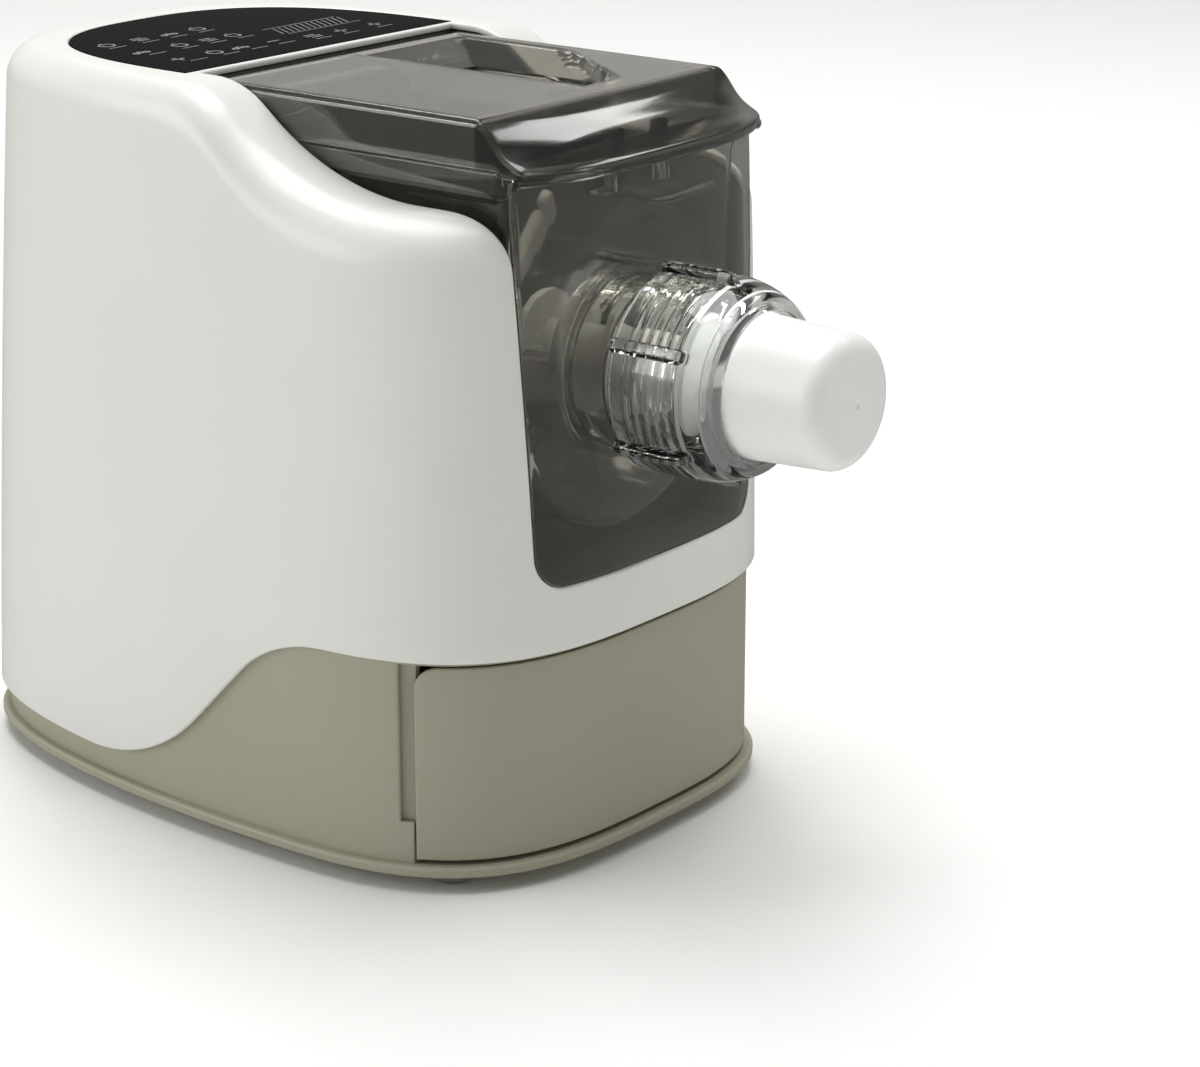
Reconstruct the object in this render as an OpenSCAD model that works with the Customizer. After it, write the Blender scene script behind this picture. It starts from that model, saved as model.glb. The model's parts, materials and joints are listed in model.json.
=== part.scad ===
// Electric pasta maker: white housing with a smoked mixing bay in front, a horizontal
// extrusion screw, a clear fixing nut that holds a die cap, and a storage drawer below.
// Millimetres. +Z is up, the nozzle points along -Y and +X is to the right of it.
// The plan of the housing is widest on the line y = 0 before the final centring shift.

/* [Housing] */
// Width over the base flange
body_w = 211; // [190:1:225]
// Distance from the widest station to the front of the base flange
front_reach = 106; // [100:0.5:112]
// Distance from the widest station to the back of the base flange
rear_reach = 190; // [182:1:205]
// Wall of the white housing
wall = 2.6; // [2:0.1:3.2]
// Height of the rear deck
deck_z = 274; // [270:0.5:285]
// Height of the low shoulders beside the mixing bay
shoulder_z = 239.7; // [234:0.1:244]
// Lower edge of the white housing round the drawer
skirt_front_z = 85.3; // [84:0.1:92]
// Lower edge of the white housing round the back
skirt_rear_z = 19.5; // [17:0.1:30]
// How far the back leans in for each millimetre of height
rear_lean = 0.077; // [0.05:0.001:0.09]
// How far the sides have come in at the shoulder
side_draw = 5.6; // [3:0.1:8]
// How far the front has come in at the shoulder
front_draw = 2; // [0:0.1:4]
// Width of the rolled edge round the rear deck
deck_roll = 13; // [8:0.5:18]
// Width of the rolled edge of the low shoulders
shoulder_roll = 18; // [14:0.5:22]

/* [Base] */
// Height of the rubber feet
foot_h = 5.5; // [4:0.1:9]
// Radius of a foot where it meets the base
foot_r = 9.5; // [7:0.5:12]
// Thickness of the base plate
plate_t = 4; // [3:0.1:5]
// Step from the flange in to the base wall
base_step = 3; // [3:0.1:4]
// Wall of the base and of the drawer front
base_wall = 2.6; // [2:0.1:3.2]
// Distance from the widest station to the drawer's side edges
drawer_edge_y = 67; // [60:0.5:74]
// Width of the finger groove beside the drawer front
groove_w = 5; // [4:0.1:7]
// Depth of the drawer tray behind its front
drawer_len = 118; // [90:1:124]
// Inner height of the drawer tray
tray_h = 48; // [30:1:56]
// Length of the tray that stays in the housing when the drawer is open
drawer_hold = 18; // [12:1:40]

/* [Mixing bay] */
// Height of the extrusion axis
axis_z = 177.2; // [174:0.1:180]
// Distance from the side of the bay to the round tub
tub_side = 6.8; // [5.8:0.1:10]
// Wall of the tub
tub_wall = 2.5; // [2:0.1:3]
// Half width of the mixing bay at shoulder height
bay_half = 68.8; // [66:0.1:70]
// How much each side of the bay comes in towards its foot
bay_taper = 5.5; // [2:0.1:8]
// Height of the bay window's lower edge
bay_z = 108; // [106:0.5:112]
// Back wall of the bay, measured from the widest station
bay_back = 50; // [47:0.5:53]
// Radius of the window's lower corners
bay_corner = 13; // [8:0.5:18]
// Thickness of the smoked window
window_t = 3; // [2.4:0.1:4]

/* [Lid] */
// How far the lid's flat top lies below the deck
lid_drop = 2.4; // [1:0.1:5]
// Height of the lid's side skirts
lid_skirt_h = 16.6; // [13.6:0.1:17.6]
// Wall of the lid
lid_t = 2.4; // [2:0.1:3]
// Distance from the front of the base flange back to the lid's flat top
lid_nose = 30; // [26:0.5:34]
// How far the front lip stands out beyond the window
lip_reach = 4.5; // [2:0.1:7]
// Depth of the sloped water funnel
funnel_d = 6; // [4:0.5:8]
// Depth of the slotted sump under the funnel
sump_d = 11; // [9:0.5:12]

/* [Nozzle] */
// Bore of the extrusion barrel
barrel_bore = 21; // [18:0.1:22]
// Outer radius of the barrel where the nut turns on it
barrel_r = 31.2; // [30:0.1:31.6]
// Wall of the fixing nut over its thread
nut_wall = 5.3; // [4.3:0.1:6.8]
// Height of the grip ribs on the nut
rib_h = 3; // [2:0.1:4]
// Number of grip ribs
rib_n = 6; // [4:1:8]
// Angle of the first grip rib above the right side
rib_turn = 35; // [0:1:60]
// Length of the fixing nut
nut_len = 42; // [40:0.5:46]
// Gap between the window and the nut
nut_gap = 2.7; // [1.5:0.1:4]
// Radius of the die cap where it leaves the nut
die_r = 25.6; // [24:0.1:26]
// How much the die cap narrows towards its rounded end
die_taper = 1.6; // [0:0.1:3]
// How far the die cap stands out of the nut
die_out = 37; // [30:0.5:42]
// Width of a pasta slot
slot_w = 1.6; // [1:0.1:2.4]
// Length of a pasta slot
slot_len = 5.2; // [4:0.1:6]
// Travel of the nut along its thread
nut_travel = 18; // [10:1:20]

/* [Screw and paddle] */
// Radius of the drive shaft
shaft_r = 6; // [5:0.1:7]
// Radius of the screw's core
core_r = 10; // [9:0.1:12]
// Pitch of the screw flight
flight_pitch = 24; // [18:1:30]
// Thickness of the screw flight
flight_t = 4; // [3:0.1:6]
// Radial gap of the screw in the barrel
screw_gap = 0.4; // [0.3:0.05:0.8]
// Gap between the paddle tips and the tub
paddle_gap = 3; // [2:0.5:6]
// Number of paddle arms
arm_n = 4; // [3:1:4]
// Turn of the first paddle arm from straight up
arm_start = 35; // [0:5:90]

/* [Drive] */
// Teeth of the motor pinion
pinion_n = 14; // [13:1:16]
// Teeth of the large idler wheel
idler_n = 84; // [80:1:88]
// Teeth of the small idler wheel
idler_small_n = 16; // [15:1:18]
// Teeth of the output wheel
output_n = 64; // [60:1:66]
// Tooth module of the fast stage
fast_module = 1; // [0.9:0.05:1.05]
// Tooth module of the slow stage
slow_module = 1.5; // [1.4:0.05:1.55]
// Angle from straight down to the idler, seen from the front
idler_angle = 34.5; // [30:0.5:40]
// Radius of the motor body
motor_r = 30; // [26:0.5:33]
// Distance from the motor's fan to the back of the base flange
fan_clear = 24.7; // [16:0.1:34]
// Radius of the motor shaft
motor_shaft_r = 3; // [2.5:0.1:4]

/* [Controls] */
// Distance from the side of the base flange in to the touch panel
panel_side = 33; // [31:0.5:46]
// Distance from the back of the base flange in to the touch panel
panel_back = 39; // [37:1:60]
// Thickness of the touch panel glass
panel_t = 1.5; // [1:0.1:1.8]
// Radius of the cord's hole through the gland
gland_r = 3.5; // [2.5:0.1:4]

/* [Hidden] */

$fn = 64;

// Clearances
seam = 0.4;
gap = 0.3;
run_gap = 0.05;
touch = 0.02;
body_gap = 0.5;
side_gap = 0.2;
// Overrun of a cut beyond the face that it opens
past = 5;

// Plan outline of the housing: blunt front, long rounded back
half_w = body_w / 2;
front_power = 3.1;
plan_n = 112;
quarter = plan_n / 4;
lean_base_z = 20;
lean_height = shoulder_z - lean_base_z;

// Cross-section of the housing
plate_z = foot_h + plate_t;
lip_in = 1.4;
lip_h = 8;
rib_t = 2.2;

// Mixing bay
bay_foot_half = bay_half - bay_taper;
window_y = front_reach - front_draw * pow((axis_z - lean_base_z) / lean_height, 2);
tub_set = 18;
tub_front = front_reach - tub_set;
tub_rear_gap = 6;
tub_back = bay_back - tub_rear_gap;
tub_r = bay_half - tub_side;
lid_z = deck_z - lid_drop;
lid_skirt_z = lid_z - lid_skirt_h;
tub_rim_z = lid_skirt_z - body_gap;
tub_rim_h = 10;
tub_rim_front = tub_front - tub_wall;
tub_rim_half = bay_half - seam - side_gap;
tub_flare = 3.6;
tub_top_half = tub_r + tub_flare;

// Lid
lid_flat_y = front_reach - lid_nose;
lid_half = bay_half - 2 * seam;
hinge_r = 6.5;
hinge_y = bay_back - body_gap - hinge_r;
hinge_z = lid_z - hinge_r;
hinge_pin_r = 2;
hinge_pin_len = 13;
hinge_socket = 9;
lid_corner = 3;
tab_half = 4;

// Nozzle stations, all measured along -Y from the widest station
nut_r = barrel_r + nut_wall;
die_tip_r = die_r - die_taper;
nut_rear = window_y + nut_gap;
nut_front = nut_rear + nut_len;
nut_lip = 6.2;
die_seat = nut_front - nut_lip - gap;
die_flange_t = 7.7;
die_flange_step = 0.7;
die_flange_r = barrel_r - die_flange_step;
seal_t = 1.5;
barrel_front = die_seat - die_flange_t - gap - seal_t;
die_tip = nut_front + die_out;
nut_bore = barrel_r + run_gap;
mouth_gap = 0.8;
nut_mouth = die_r + mouth_gap;
barrel_neck_r = barrel_r - side_gap;
barrel_flange = 4;
barrel_flange_t = 2.8;
throat_wall = 12;
throat_rise = 4;

// Screw and shaft stations
throat_len = 42;
throat_back = tub_front - throat_len;
screw_set = 1.5;
screw_front = barrel_front - screw_set;
screw_start = 4;
screw_back = throat_back - screw_start;
paddle_set = 10;
paddle_front = throat_back - paddle_set;
paddle_rear_gap = 6;
paddle_back = tub_back - tub_wall - paddle_rear_gap;
flight_r = barrel_bore - screw_gap;
arm_r = tub_r - tub_wall - paddle_gap;
hub_wall = 4;
hub_r = shaft_r + hub_wall;

// Gear train stations along +Y
case_set = 12;
case_front = tub_back + case_set;
case_wall = 2.5;
gear_rise = 3;
wheel_gap = 5;
slow_y = case_front + case_wall + wheel_gap;
slow_face = 12;
stage_gap = 6;
fast_y = slow_y + slow_face + stage_gap;
fast_face = 8;
cover_gap = 4;
case_back = fast_y + fast_face + cover_gap;
motor_y = case_back + case_wall + gap;
fan_h = 8;
fan_y = rear_reach - fan_clear - fan_h;
fan_gap = 3;
motor_len = fan_y - fan_gap - motor_y;

// Gear centres in the XZ plane
slow_distance = slow_module * (idler_small_n + output_n) / 2;
fast_distance = fast_module * (pinion_n + idler_n) / 2;
idler_x = slow_distance * sin(idler_angle);
idler_z = axis_z - slow_distance * cos(idler_angle);
motor_z = idler_z - sqrt(pow(fast_distance, 2) - pow(idler_x, 2));
idler_pin_r = 4;
pin_seat = 1;
tooth_add = 0.9;
tooth_ded = 1.25;
tooth_root = 0.6;
tooth_tip = 0.26;

// The finished part is shifted so that its box is centred on the origin
centre_shift = (die_tip - rear_reach) / 2;

// ---------------------------------------------------------------- shape functions

// Point of the plan outline in the direction t, moved in by the inset.
// In front it is a superellipse; behind it obeys (x / a)^4 + (y / b)^2 = 1.
function plan_point(t, inset) =
    let (a = half_w - inset, b = rear_reach - inset, f = front_reach - inset,
        c = cos(t), s = sin(t),
        p = pow(c / a, 4), q = pow(s / b, 2),
        r = s > 0
            ? sqrt(2 / (q + sqrt(q * q + 4 * p)))
            : pow(pow(abs(c) / a, front_power) + pow(abs(s) / f, front_power), -1 / front_power))
    [r * c, r * s];

function plan_outline(inset) = [for (i = [0 : plan_n - 1]) plan_point(360 * i / plan_n, inset)];

// How far the housing has come in at height z
function lean_share(z) = pow(max(0, z - lean_base_z) / lean_height, 2);

function lean_y(y, z) = y > 0
    ? y * (1 - rear_lean * max(0, z - lean_base_z) / rear_reach)
    : y * (1 - front_draw * lean_share(z) / front_reach);

function leaned(p, z) = [p[0] * (1 - side_draw * lean_share(z) / half_w), lean_y(p[1], z), z];

// Distance of the leaned front face from the widest station at a given x and height
function front_face(x, z, inset) =
    let (a = (half_w - inset) * (1 - side_draw * lean_share(z) / half_w))
    -lean_y(-(front_reach - inset) * pow(1 - pow(abs(x) / a, front_power), 1 / front_power), z);

// A level line that swoops to another level through two arcs joined by a slope
function swoop(y, start, from_z, to_z, r1, r2, steepest) =
    let (dir = sign(to_z - from_z),
        slope = min(steepest, acos(1 - abs(to_z - from_z) / (r1 + r2))),
        y2 = start + r1 * sin(slope),
        z2 = from_z + dir * r1 * (1 - cos(slope)),
        z3 = to_z - dir * r2 * (1 - cos(slope)),
        y3 = y2 + abs(z3 - z2) / tan(slope),
        y4 = y3 + r2 * sin(slope))
    y <= start ? from_z
    : y < y2 ? from_z + dir * (r1 - sqrt(pow(r1, 2) - pow(y - start, 2)))
    : y < y3 ? z2 + dir * (y - y2) * tan(slope)
    : y < y4 ? to_z - dir * (r2 - sqrt(pow(r2, 2) - pow(y4 - y, 2)))
    : to_z;

skirt_start = -35;
skirt_crest_r = 58;
skirt_foot_r = 85;
skirt_slope = 45;
function skirt_z(y) = swoop(y, skirt_start, skirt_front_z, skirt_rear_z, skirt_crest_r,
    skirt_foot_r, skirt_slope);

shoulder_start = -52;
shoulder_foot_r = 105;
shoulder_crest_r = 38;
shoulder_slope = 38;
function top_z(y) = swoop(y, shoulder_start, shoulder_z, deck_z, shoulder_foot_r,
    shoulder_crest_r, shoulder_slope);

function blend(a, b, t) = a + (b - a) * (3 * pow(t, 2) - 2 * pow(t, 3));

// Width of the rolled edge, wide beside the bay and narrow round the deck
roll_start = -30;
roll_change = 90;
function roll_w(y) =
    blend(shoulder_roll, deck_roll, min(1, max(0, (y - roll_start) / roll_change)));

// Mirrors a half profile of points about the line x = 0
function both_sides(pts) =
    concat(pts, [for (i = [len(pts) - 1 : -1 : 0]) [-pts[i][0], pts[i][1]]]);

// Points of an arc
function arc(cx, cy, r, a0, a1, n) =
    [for (i = [0 : n]) [cx + r * cos(a0 + (a1 - a0) * i / n), cy + r * sin(a0 + (a1 - a0) * i / n)]];

// ---------------------------------------------------------------- building blocks

// Shifts a finished piece so that the whole part is centred on the origin
module centred() {
    translate([0, centre_shift, 0])
        children();
}

// Stands a profile drawn in X and Z up between two stations along Y
module along_y(y0, y1) {
    translate([0, y1, 0])
        rotate([90, 0, 0])
            linear_extrude(y1 - y0)
                children();
}

// Stands a profile drawn in Y and Z up between two stations along X
module along_x(x0, x1) {
    translate([x0, 0, 0])
        rotate([90, 0, 90])
            linear_extrude(x1 - x0)
                children();
}

module rod_y(r, y0, y1, x = 0, z = axis_z) {
    translate([x, y1, z])
        rotate([90, 0, 0])
            cylinder(r = r, h = y1 - y0);
}

module tube_y(r, bore, y0, y1, x = 0, z = axis_z) {
    difference() {
        rod_y(r, y0, y1, x, z);
        rod_y(bore, y0 - past, y1 + past, x, z);
    }
}

module rod_x(r, x0, x1, y, z) {
    translate([x0, y, z])
        rotate([0, 90, 0])
            cylinder(r = r, h = x1 - x0);
}

module block(x0, x1, y0, y1, z0, z1) {
    translate([x0, y0, z0])
        cube([x1 - x0, y1 - y0, z1 - z0]);
}

module both_x() {
    children();
    mirror([1, 0, 0])
        children();
}

// A turned body on the extrusion axis: the profile is [radius, distance along -Y]
module turned(profile) {
    translate([0, 0, axis_z])
        rotate([90, 0, 0])
            rotate_extrude()
                polygon(profile);
}

// Upright wall between two insets of the plan outline
module plan_wall(inset, t, z0, z1) {
    translate([0, 0, z0])
        linear_extrude(z1 - z0)
            difference() {
                polygon(plan_outline(inset));
                polygon(plan_outline(inset + t));
            }
}

skirt_steps = 38;
skirt_run = 140;

// Region under a line z = f(y), drawn in Y and Z: used to trim walls to the swoop
module under_skirt(offset_z) {
    ys = [for (i = [0 : skirt_steps]) skirt_start + i * skirt_run / skirt_steps];
    polygon(concat([[-front_reach, 0], [-front_reach, skirt_front_z + offset_z]],
        [for (y = ys) [y, skirt_z(y) + offset_z]],
        [[rear_reach, skirt_rear_z + offset_z], [rear_reach, 0]]));
}

// Faces that close a stack of rings, each ring with plan_n points
function ring_faces(rings, first, flip) =
    [for (k = [0 : rings - 2], i = [0 : plan_n - 1])
        let (j = (i + 1) % plan_n, a = first + k * plan_n, b = a + plan_n)
        each flip
            ? [[a + i, b + i, b + j], [a + i, b + j, a + j]]
            : [[a + i, b + j, b + i], [a + i, a + j, b + j]]];

// Faces that bridge a ring from one side to the other in strips along X
function cap_faces(first, flip) =
    [for (i = [-quarter : quarter - 1])
        let (r0 = first + (i + plan_n) % plan_n,
            r1 = first + (i + 1 + plan_n) % plan_n,
            l0 = first + (plan_n / 2 - i) % plan_n,
            l1 = first + (plan_n / 2 - i - 1) % plan_n)
        each i == -quarter
            ? [flip ? [r0, r1, l1] : [r0, l1, r1]]
            : i == quarter - 1
                ? [flip ? [r0, r1, l0] : [r0, l0, r1]]
                : flip ? [[r0, r1, l1], [r0, l1, l0]] : [[r0, l1, r1], [r0, l0, l1]]];

// ---------------------------------------------------------------- white housing

wall_rings = 4;
roll_rings = 6;

// Ring k of the housing skin: straight rings first, then the rolled edge
function skin_ring(k, inset) =
    [for (i = [0 : plan_n - 1])
        let (p = plan_point(360 * i / plan_n, inset),
            roll = roll_w(lean_y(p[1], deck_z)) - inset,
            f = 90 * max(0, k - wall_rings) / roll_rings,
            q = plan_point(360 * i / plan_n, inset + roll * (1 - cos(f))),
            top = top_z(lean_y(q[1], deck_z)) - inset,
            low = skirt_z(p[1]),
            z = k <= wall_rings
                ? low + (top - roll - low) * k / wall_rings
                : top - roll * (1 - sin(f)))
        leaned(q, z)];

module shell_skin() {
    n = wall_rings + roll_rings + 1;
    inner = n * plan_n;
    points = concat([for (k = [0 : n - 1]) each skin_ring(k, 0)],
        [for (k = [0 : n - 1]) each skin_ring(k, wall)]);
    rim = [for (i = [0 : plan_n - 1])
        let (j = (i + 1) % plan_n)
        each [[i, inner + j, inner + i], [i, j, inner + j]]];
    polyhedron(points, concat(ring_faces(n, 0, true), cap_faces(inner - plan_n, false),
        ring_faces(n, inner, false), cap_faces(2 * inner - plan_n, true), rim), convexity = 10);
}

// Outline of the bay seen from the front: slanted sides and rounded lower corners
function bay_profile(grow) =
    let (tilt = atan((bay_half - bay_foot_half) / (shoulder_z - bay_z - bay_corner)))
    both_sides(concat(
        [[bay_half - grow, deck_z + past], [bay_half - grow, shoulder_z]],
        arc(bay_foot_half - bay_corner, bay_z + bay_corner, bay_corner - grow, -tilt, -90, 10)));

// Half superellipse of the touch panel, grown by a clearance
panel_set = 3;
panel_y = bay_back + panel_set;
panel_half = half_w - panel_side;
panel_depth = rear_reach - panel_back - panel_y;
panel_power = 2.7;
panel_steps = 32;
function panel_outline(grow) =
    [for (i = [0 : panel_steps])
        let (t = 180 * i / panel_steps, c = cos(t))
        [(panel_half + grow) * sign(c) * pow(abs(c), 2 / panel_power),
            panel_y - grow + (panel_depth + 2 * grow) * pow(sin(t), 2 / panel_power)]];

seat_places = [[-47, skirt_front_z], [110, skirt_rear_z]];
seat_w = 3;
seat_in = 0.8;
seat_h = 12;

gland_x = -30;
gland_z = 40;
gland_wall = 3;
gland_flange = 5.5;
gland_flange_t = 2.2;
gland_len = 14;
gland_grip = 8.2;
gland_grip_t = 2.8;
gland_proud = 1.5;

vent_n = 7;
vent_pitch = 7;
vent_h = 3;
vent_len = 46;
vent_x = 12;
vent_z = 62;

// Half width of the plan outline at station y, moved in by the inset
function side_x(y, inset) = (half_w - inset)
    * (y > 0 ? pow(1 - pow(y / (rear_reach - inset), 2), 1 / 4)
        : pow(1 - pow(-y / (front_reach - inset), front_power), 1 / front_power));

// Ribs inside the housing that stand on the top edge of the base wall
module seat_ribs() {
    for (p = seat_places)
        both_x()
            block(side_x(p[0], base_step + seat_in), side_x(p[0], wall - gap),
                p[0] - seat_w / 2, p[0] + seat_w / 2, p[1] - gap + touch, p[1] + seat_h);
}

module outer_shell() {
    color("gainsboro")
    centred()
    difference() {
        union() {
            shell_skin();
            seat_ribs();
        }
        along_y(-front_reach - past, bay_back)
            polygon(bay_profile(0));
        translate([0, 0, deck_z - panel_t - touch])
            linear_extrude(panel_t + past)
                polygon(panel_outline(gap));
        rod_y(gland_r + gland_wall + gap, gland_face - gland_len, rear_reach + past, gland_x,
            gland_z);
        rod_y(gland_r + gland_flange + gap, gland_face - gland_flange_t - touch,
            rear_reach + past, gland_x, gland_z);
        for (i = [0 : vent_n - 1])
            block(vent_x, vent_x + vent_len, rear_reach / 2, rear_reach + past,
                vent_z + i * vent_pitch, vent_z + i * vent_pitch + vent_h);
    }
}

// ---------------------------------------------------------------- base

// Four places, left and right of the front and the back
function corner_places(in) = [
    [in[0][0] - half_w, in[0][1] - front_reach], [half_w - in[0][0], in[0][1] - front_reach],
    [in[1][0] - half_w, rear_reach - in[1][1]], [half_w - in[1][0], rear_reach - in[1][1]]];

// Solid slab of the plan outline built from [inset, z] levels
module plan_slab(levels) {
    n = len(levels);
    points = [for (l = levels, i = [0 : plan_n - 1])
        let (p = plan_point(360 * i / plan_n, l[0])) [p[0], p[1], l[1]]];
    polyhedron(points, concat(ring_faces(n, 0, true), cap_faces((n - 1) * plan_n, false),
        cap_faces(0, true)), convexity = 4);
}

// Feet and screws: [distance in from the side, distance in from the front or the back]
foot_in = [[29.5, 36], [35.5, 56]];
screw_in = [[13, 81], [21.5, 98]];
foot_places = corner_places(foot_in);
screw_places = corner_places(screw_in);
foot_stem_r = 3;
screw_r = 1.6;
screw_head_r = 3.6;
screw_head_h = 2.4;
boss_r = 4.5;
boss_h = 14;
flange_round = 1.3;
grille_n = 9;
grille_pitch = 9;
grille_w = 4;
grille_y = [96, 132];

// Slots that let the motor's air in through the base
module grille(z0, z1) {
    for (i = [0 : grille_n - 1])
        let (x = (i - (grille_n - 1) / 2) * grille_pitch)
        block(x - grille_w / 2, x + grille_w / 2, grille_y[0], grille_y[1], z0, z1);
}

module base_plate() {
    color("darkkhaki")
    centred()
    difference() {
        plan_slab(concat(
            [for (a = [0 : 30 : 90])
                [flange_round * (1 - sin(a)), foot_h + flange_round * (1 - cos(a))]],
            [for (a = [0 : 30 : 90])
                [flange_round * (1 - cos(a)), plate_z - flange_round * (1 - sin(a))]]));
        for (p = foot_places)
            translate([p[0], p[1], foot_h - past])
                cylinder(r = foot_stem_r + run_gap, h = plate_t + 2 * past);
        for (p = screw_places)
            translate([p[0], p[1], foot_h - past]) {
                cylinder(r = screw_r + gap, h = plate_t + 2 * past);
                cylinder(r = screw_head_r + gap, h = screw_head_h + past);
            }
        grille(foot_h - past, plate_z + past);
    }
}

// Ring of the base wall, stepped in behind the white housing's lower edge
module base_walls() {
    intersection() {
        plan_wall(base_step, base_wall, plate_z, deck_z);
        along_x(-half_w, half_w)
            under_skirt(-gap);
    }
    intersection() {
        plan_wall(base_step + lip_in, base_wall, plate_z, deck_z);
        along_x(-half_w, half_w)
            under_skirt(lip_h);
        block(-half_w, half_w, -front_reach, rear_reach, skirt_rear_z - lip_h, deck_z);
    }
}

sill_h = 0.8;
drawer_gap = 1.6;
drawer_z = plate_z + drawer_gap;
drawer_top = skirt_front_z - drawer_gap - sill_h;
drawer_corner = 8;
opening_top = drawer_top + 2 * seam;
groove_z = 25;
groove_depth = 9;
groove_back = 6;
web_t = 2;
tray_side = 17;
tray_half = half_w - base_step - tray_side;

module base_housing() {
    inner = base_step + base_wall;
    color("darkkhaki")
    centred()
    union() {
        difference() {
            base_walls();
            block(-half_w, half_w, -front_reach, -drawer_edge_y + seam, plate_z + sill_h,
                opening_top);
            both_x()
                block(half_w - inner - groove_depth, half_w, -drawer_edge_y,
                    -drawer_edge_y + groove_w, groove_z, opening_top);
        }
        intersection() {
            plan_wall(inner - touch, rib_t, plate_z + touch, drawer_top);
            both_x()
                block(half_w / 2, half_w, -drawer_edge_y + seam,
                    -drawer_edge_y + groove_w + groove_back, plate_z, deck_z);
        }
        for (p = screw_places)
            difference() {
                union() {
                    translate([p[0], p[1], plate_z + touch])
                        cylinder(r = boss_r, h = boss_h);
                    boss_web(p, inner);
                }
                translate([p[0], p[1], plate_z - past])
                    cylinder(r = screw_r, h = boss_h + past - rib_t);
            }
    }
}

// Web that ties a screw boss to the base wall beside it
module boss_web(p, inner) {
    reach = side_x(p[1], inner - touch);
    block(p[0] > 0 ? p[0] : -reach, p[0] > 0 ? reach : p[0], p[1] - web_t / 2,
        p[1] + web_t / 2, plate_z + touch, plate_z + boss_h);
}

foot_round = 2.4;
foot_taper = 1;

module foot(i) {
    color("dimgray")
    centred()
    translate([foot_places[i][0], foot_places[i][1], 0])
        rotate_extrude()
            polygon(concat([[0, 0]],
                arc(foot_r - foot_taper - foot_round, foot_round, foot_round, -90, -20, 6),
                [[foot_r, foot_h - touch], [foot_stem_r, foot_h - touch],
                    [foot_stem_r, plate_z], [0, plate_z]]));
}

module foot_front_left() {
    foot(0);
}

module foot_front_right() {
    foot(1);
}

module foot_rear_left() {
    foot(2);
}

module foot_rear_right() {
    foot(3);
}

module base_screws() {
    color("silver")
    centred()
    for (p = screw_places)
        translate([p[0], p[1], foot_h]) {
            cylinder(r = screw_head_r, h = screw_head_h - touch);
            cylinder(r = screw_r - run_gap, h = plate_t + boss_h - 3 * rib_t);
        }
}

// ---------------------------------------------------------------- drawer

rail_in = 22;
rail_x = tray_half - rail_in;
rail_w = 3;
tray_wall = 2;
rail_h = 2;
tray_front = front_reach - base_step - base_wall;
tray_rear = drawer_len - tray_front;
tray_lug = 3;
catch_t = 3;
catch_y = drawer_hold - tray_front - tray_lug - gap;

// Two rails on the base plate; the catch at the front of each stops the drawer
module drawer_rails() {
    color("gray")
    centred()
    both_x() {
        block(rail_x - rail_w, rail_x, catch_y - catch_t, tray_rear + past, plate_z + touch,
            plate_z + rail_h);
        block(rail_x - rail_w, rail_x, catch_y - catch_t, catch_y, plate_z + touch,
            plate_z + rail_h + 2 * gap);
    }
}

module drawer_front() {
    color("darkkhaki")
    centred()
    intersection() {
        plan_wall(base_step, base_wall, drawer_z, drawer_top);
        along_x(-half_w, half_w)
            polygon(concat([[-front_reach, 0], [-drawer_edge_y, 0]],
                arc(-drawer_edge_y - drawer_corner, drawer_top - drawer_corner, drawer_corner,
                    0, 90, 8),
                [[-front_reach, drawer_top]]));
    }
}

module drawer_tray() {
    z0 = plate_z + rail_h + run_gap;
    color("gray")
    centred()
    difference() {
        intersection() {
            translate([0, 0, z0])
                linear_extrude(tray_h + tray_wall)
                    polygon(plan_outline(base_step + base_wall + touch));
            block(-tray_half, tray_half, -tray_front, tray_rear, 0, deck_z);
        }
        intersection() {
            translate([0, 0, z0 + tray_wall])
                linear_extrude(tray_h + tray_wall)
                    polygon(plan_outline(base_step + base_wall + tray_wall));
            block(-tray_half + tray_wall, tray_half - tray_wall, -tray_front,
                tray_rear - tray_wall, 0, deck_z);
        }
        both_x()
            block(rail_x - rail_w - gap, rail_x + gap, -tray_front - past, tray_rear - tray_lug,
                z0 - past, z0 + tray_wall / 2);
    }
}

// ---------------------------------------------------------------- inner frames

cradle_gap = 1;
cradle_z = opening_top + cradle_gap;
cradle_t = 2.4;
cradle_back = 6;
saddle_in = [12, 70];
saddle_t = 3;
saddle_wing = 12;
saddle_half = tub_r + saddle_wing;
saddle_taper = 4;
saddle_rise = 36;

// Deck over the drawer with two saddles that carry the tub
module tub_cradle() {
    color("gray")
    centred()
    union() {
        intersection() {
            translate([0, 0, cradle_z])
                linear_extrude(cradle_t)
                    polygon(plan_outline(base_step + lip_in + base_wall + gap));
            block(-half_w, half_w, -front_reach, -cradle_back, 0, deck_z);
        }
        for (y = [for (d = saddle_in) d - tub_front])
            difference() {
                along_y(y, y + saddle_t)
                    polygon(both_sides([[saddle_half, cradle_z + cradle_t - touch],
                        [saddle_half - saddle_taper, axis_z - saddle_rise]]));
                rod_y(tub_r + gap, y - past, y + saddle_t + past);
            }
    }
}

frame_x = bay_half + side_gap;
frame_set = 7;
frame_front = lid_flat_y - frame_set;
frame_lift = 10;
frame_foot = axis_z + frame_lift;
frame_post = 20;
frame_drop = 24;
frame_steps = 32;
hinge_boss = 2.6;
hinge_boss_len = 4;
pin_cap = 1;

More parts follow.
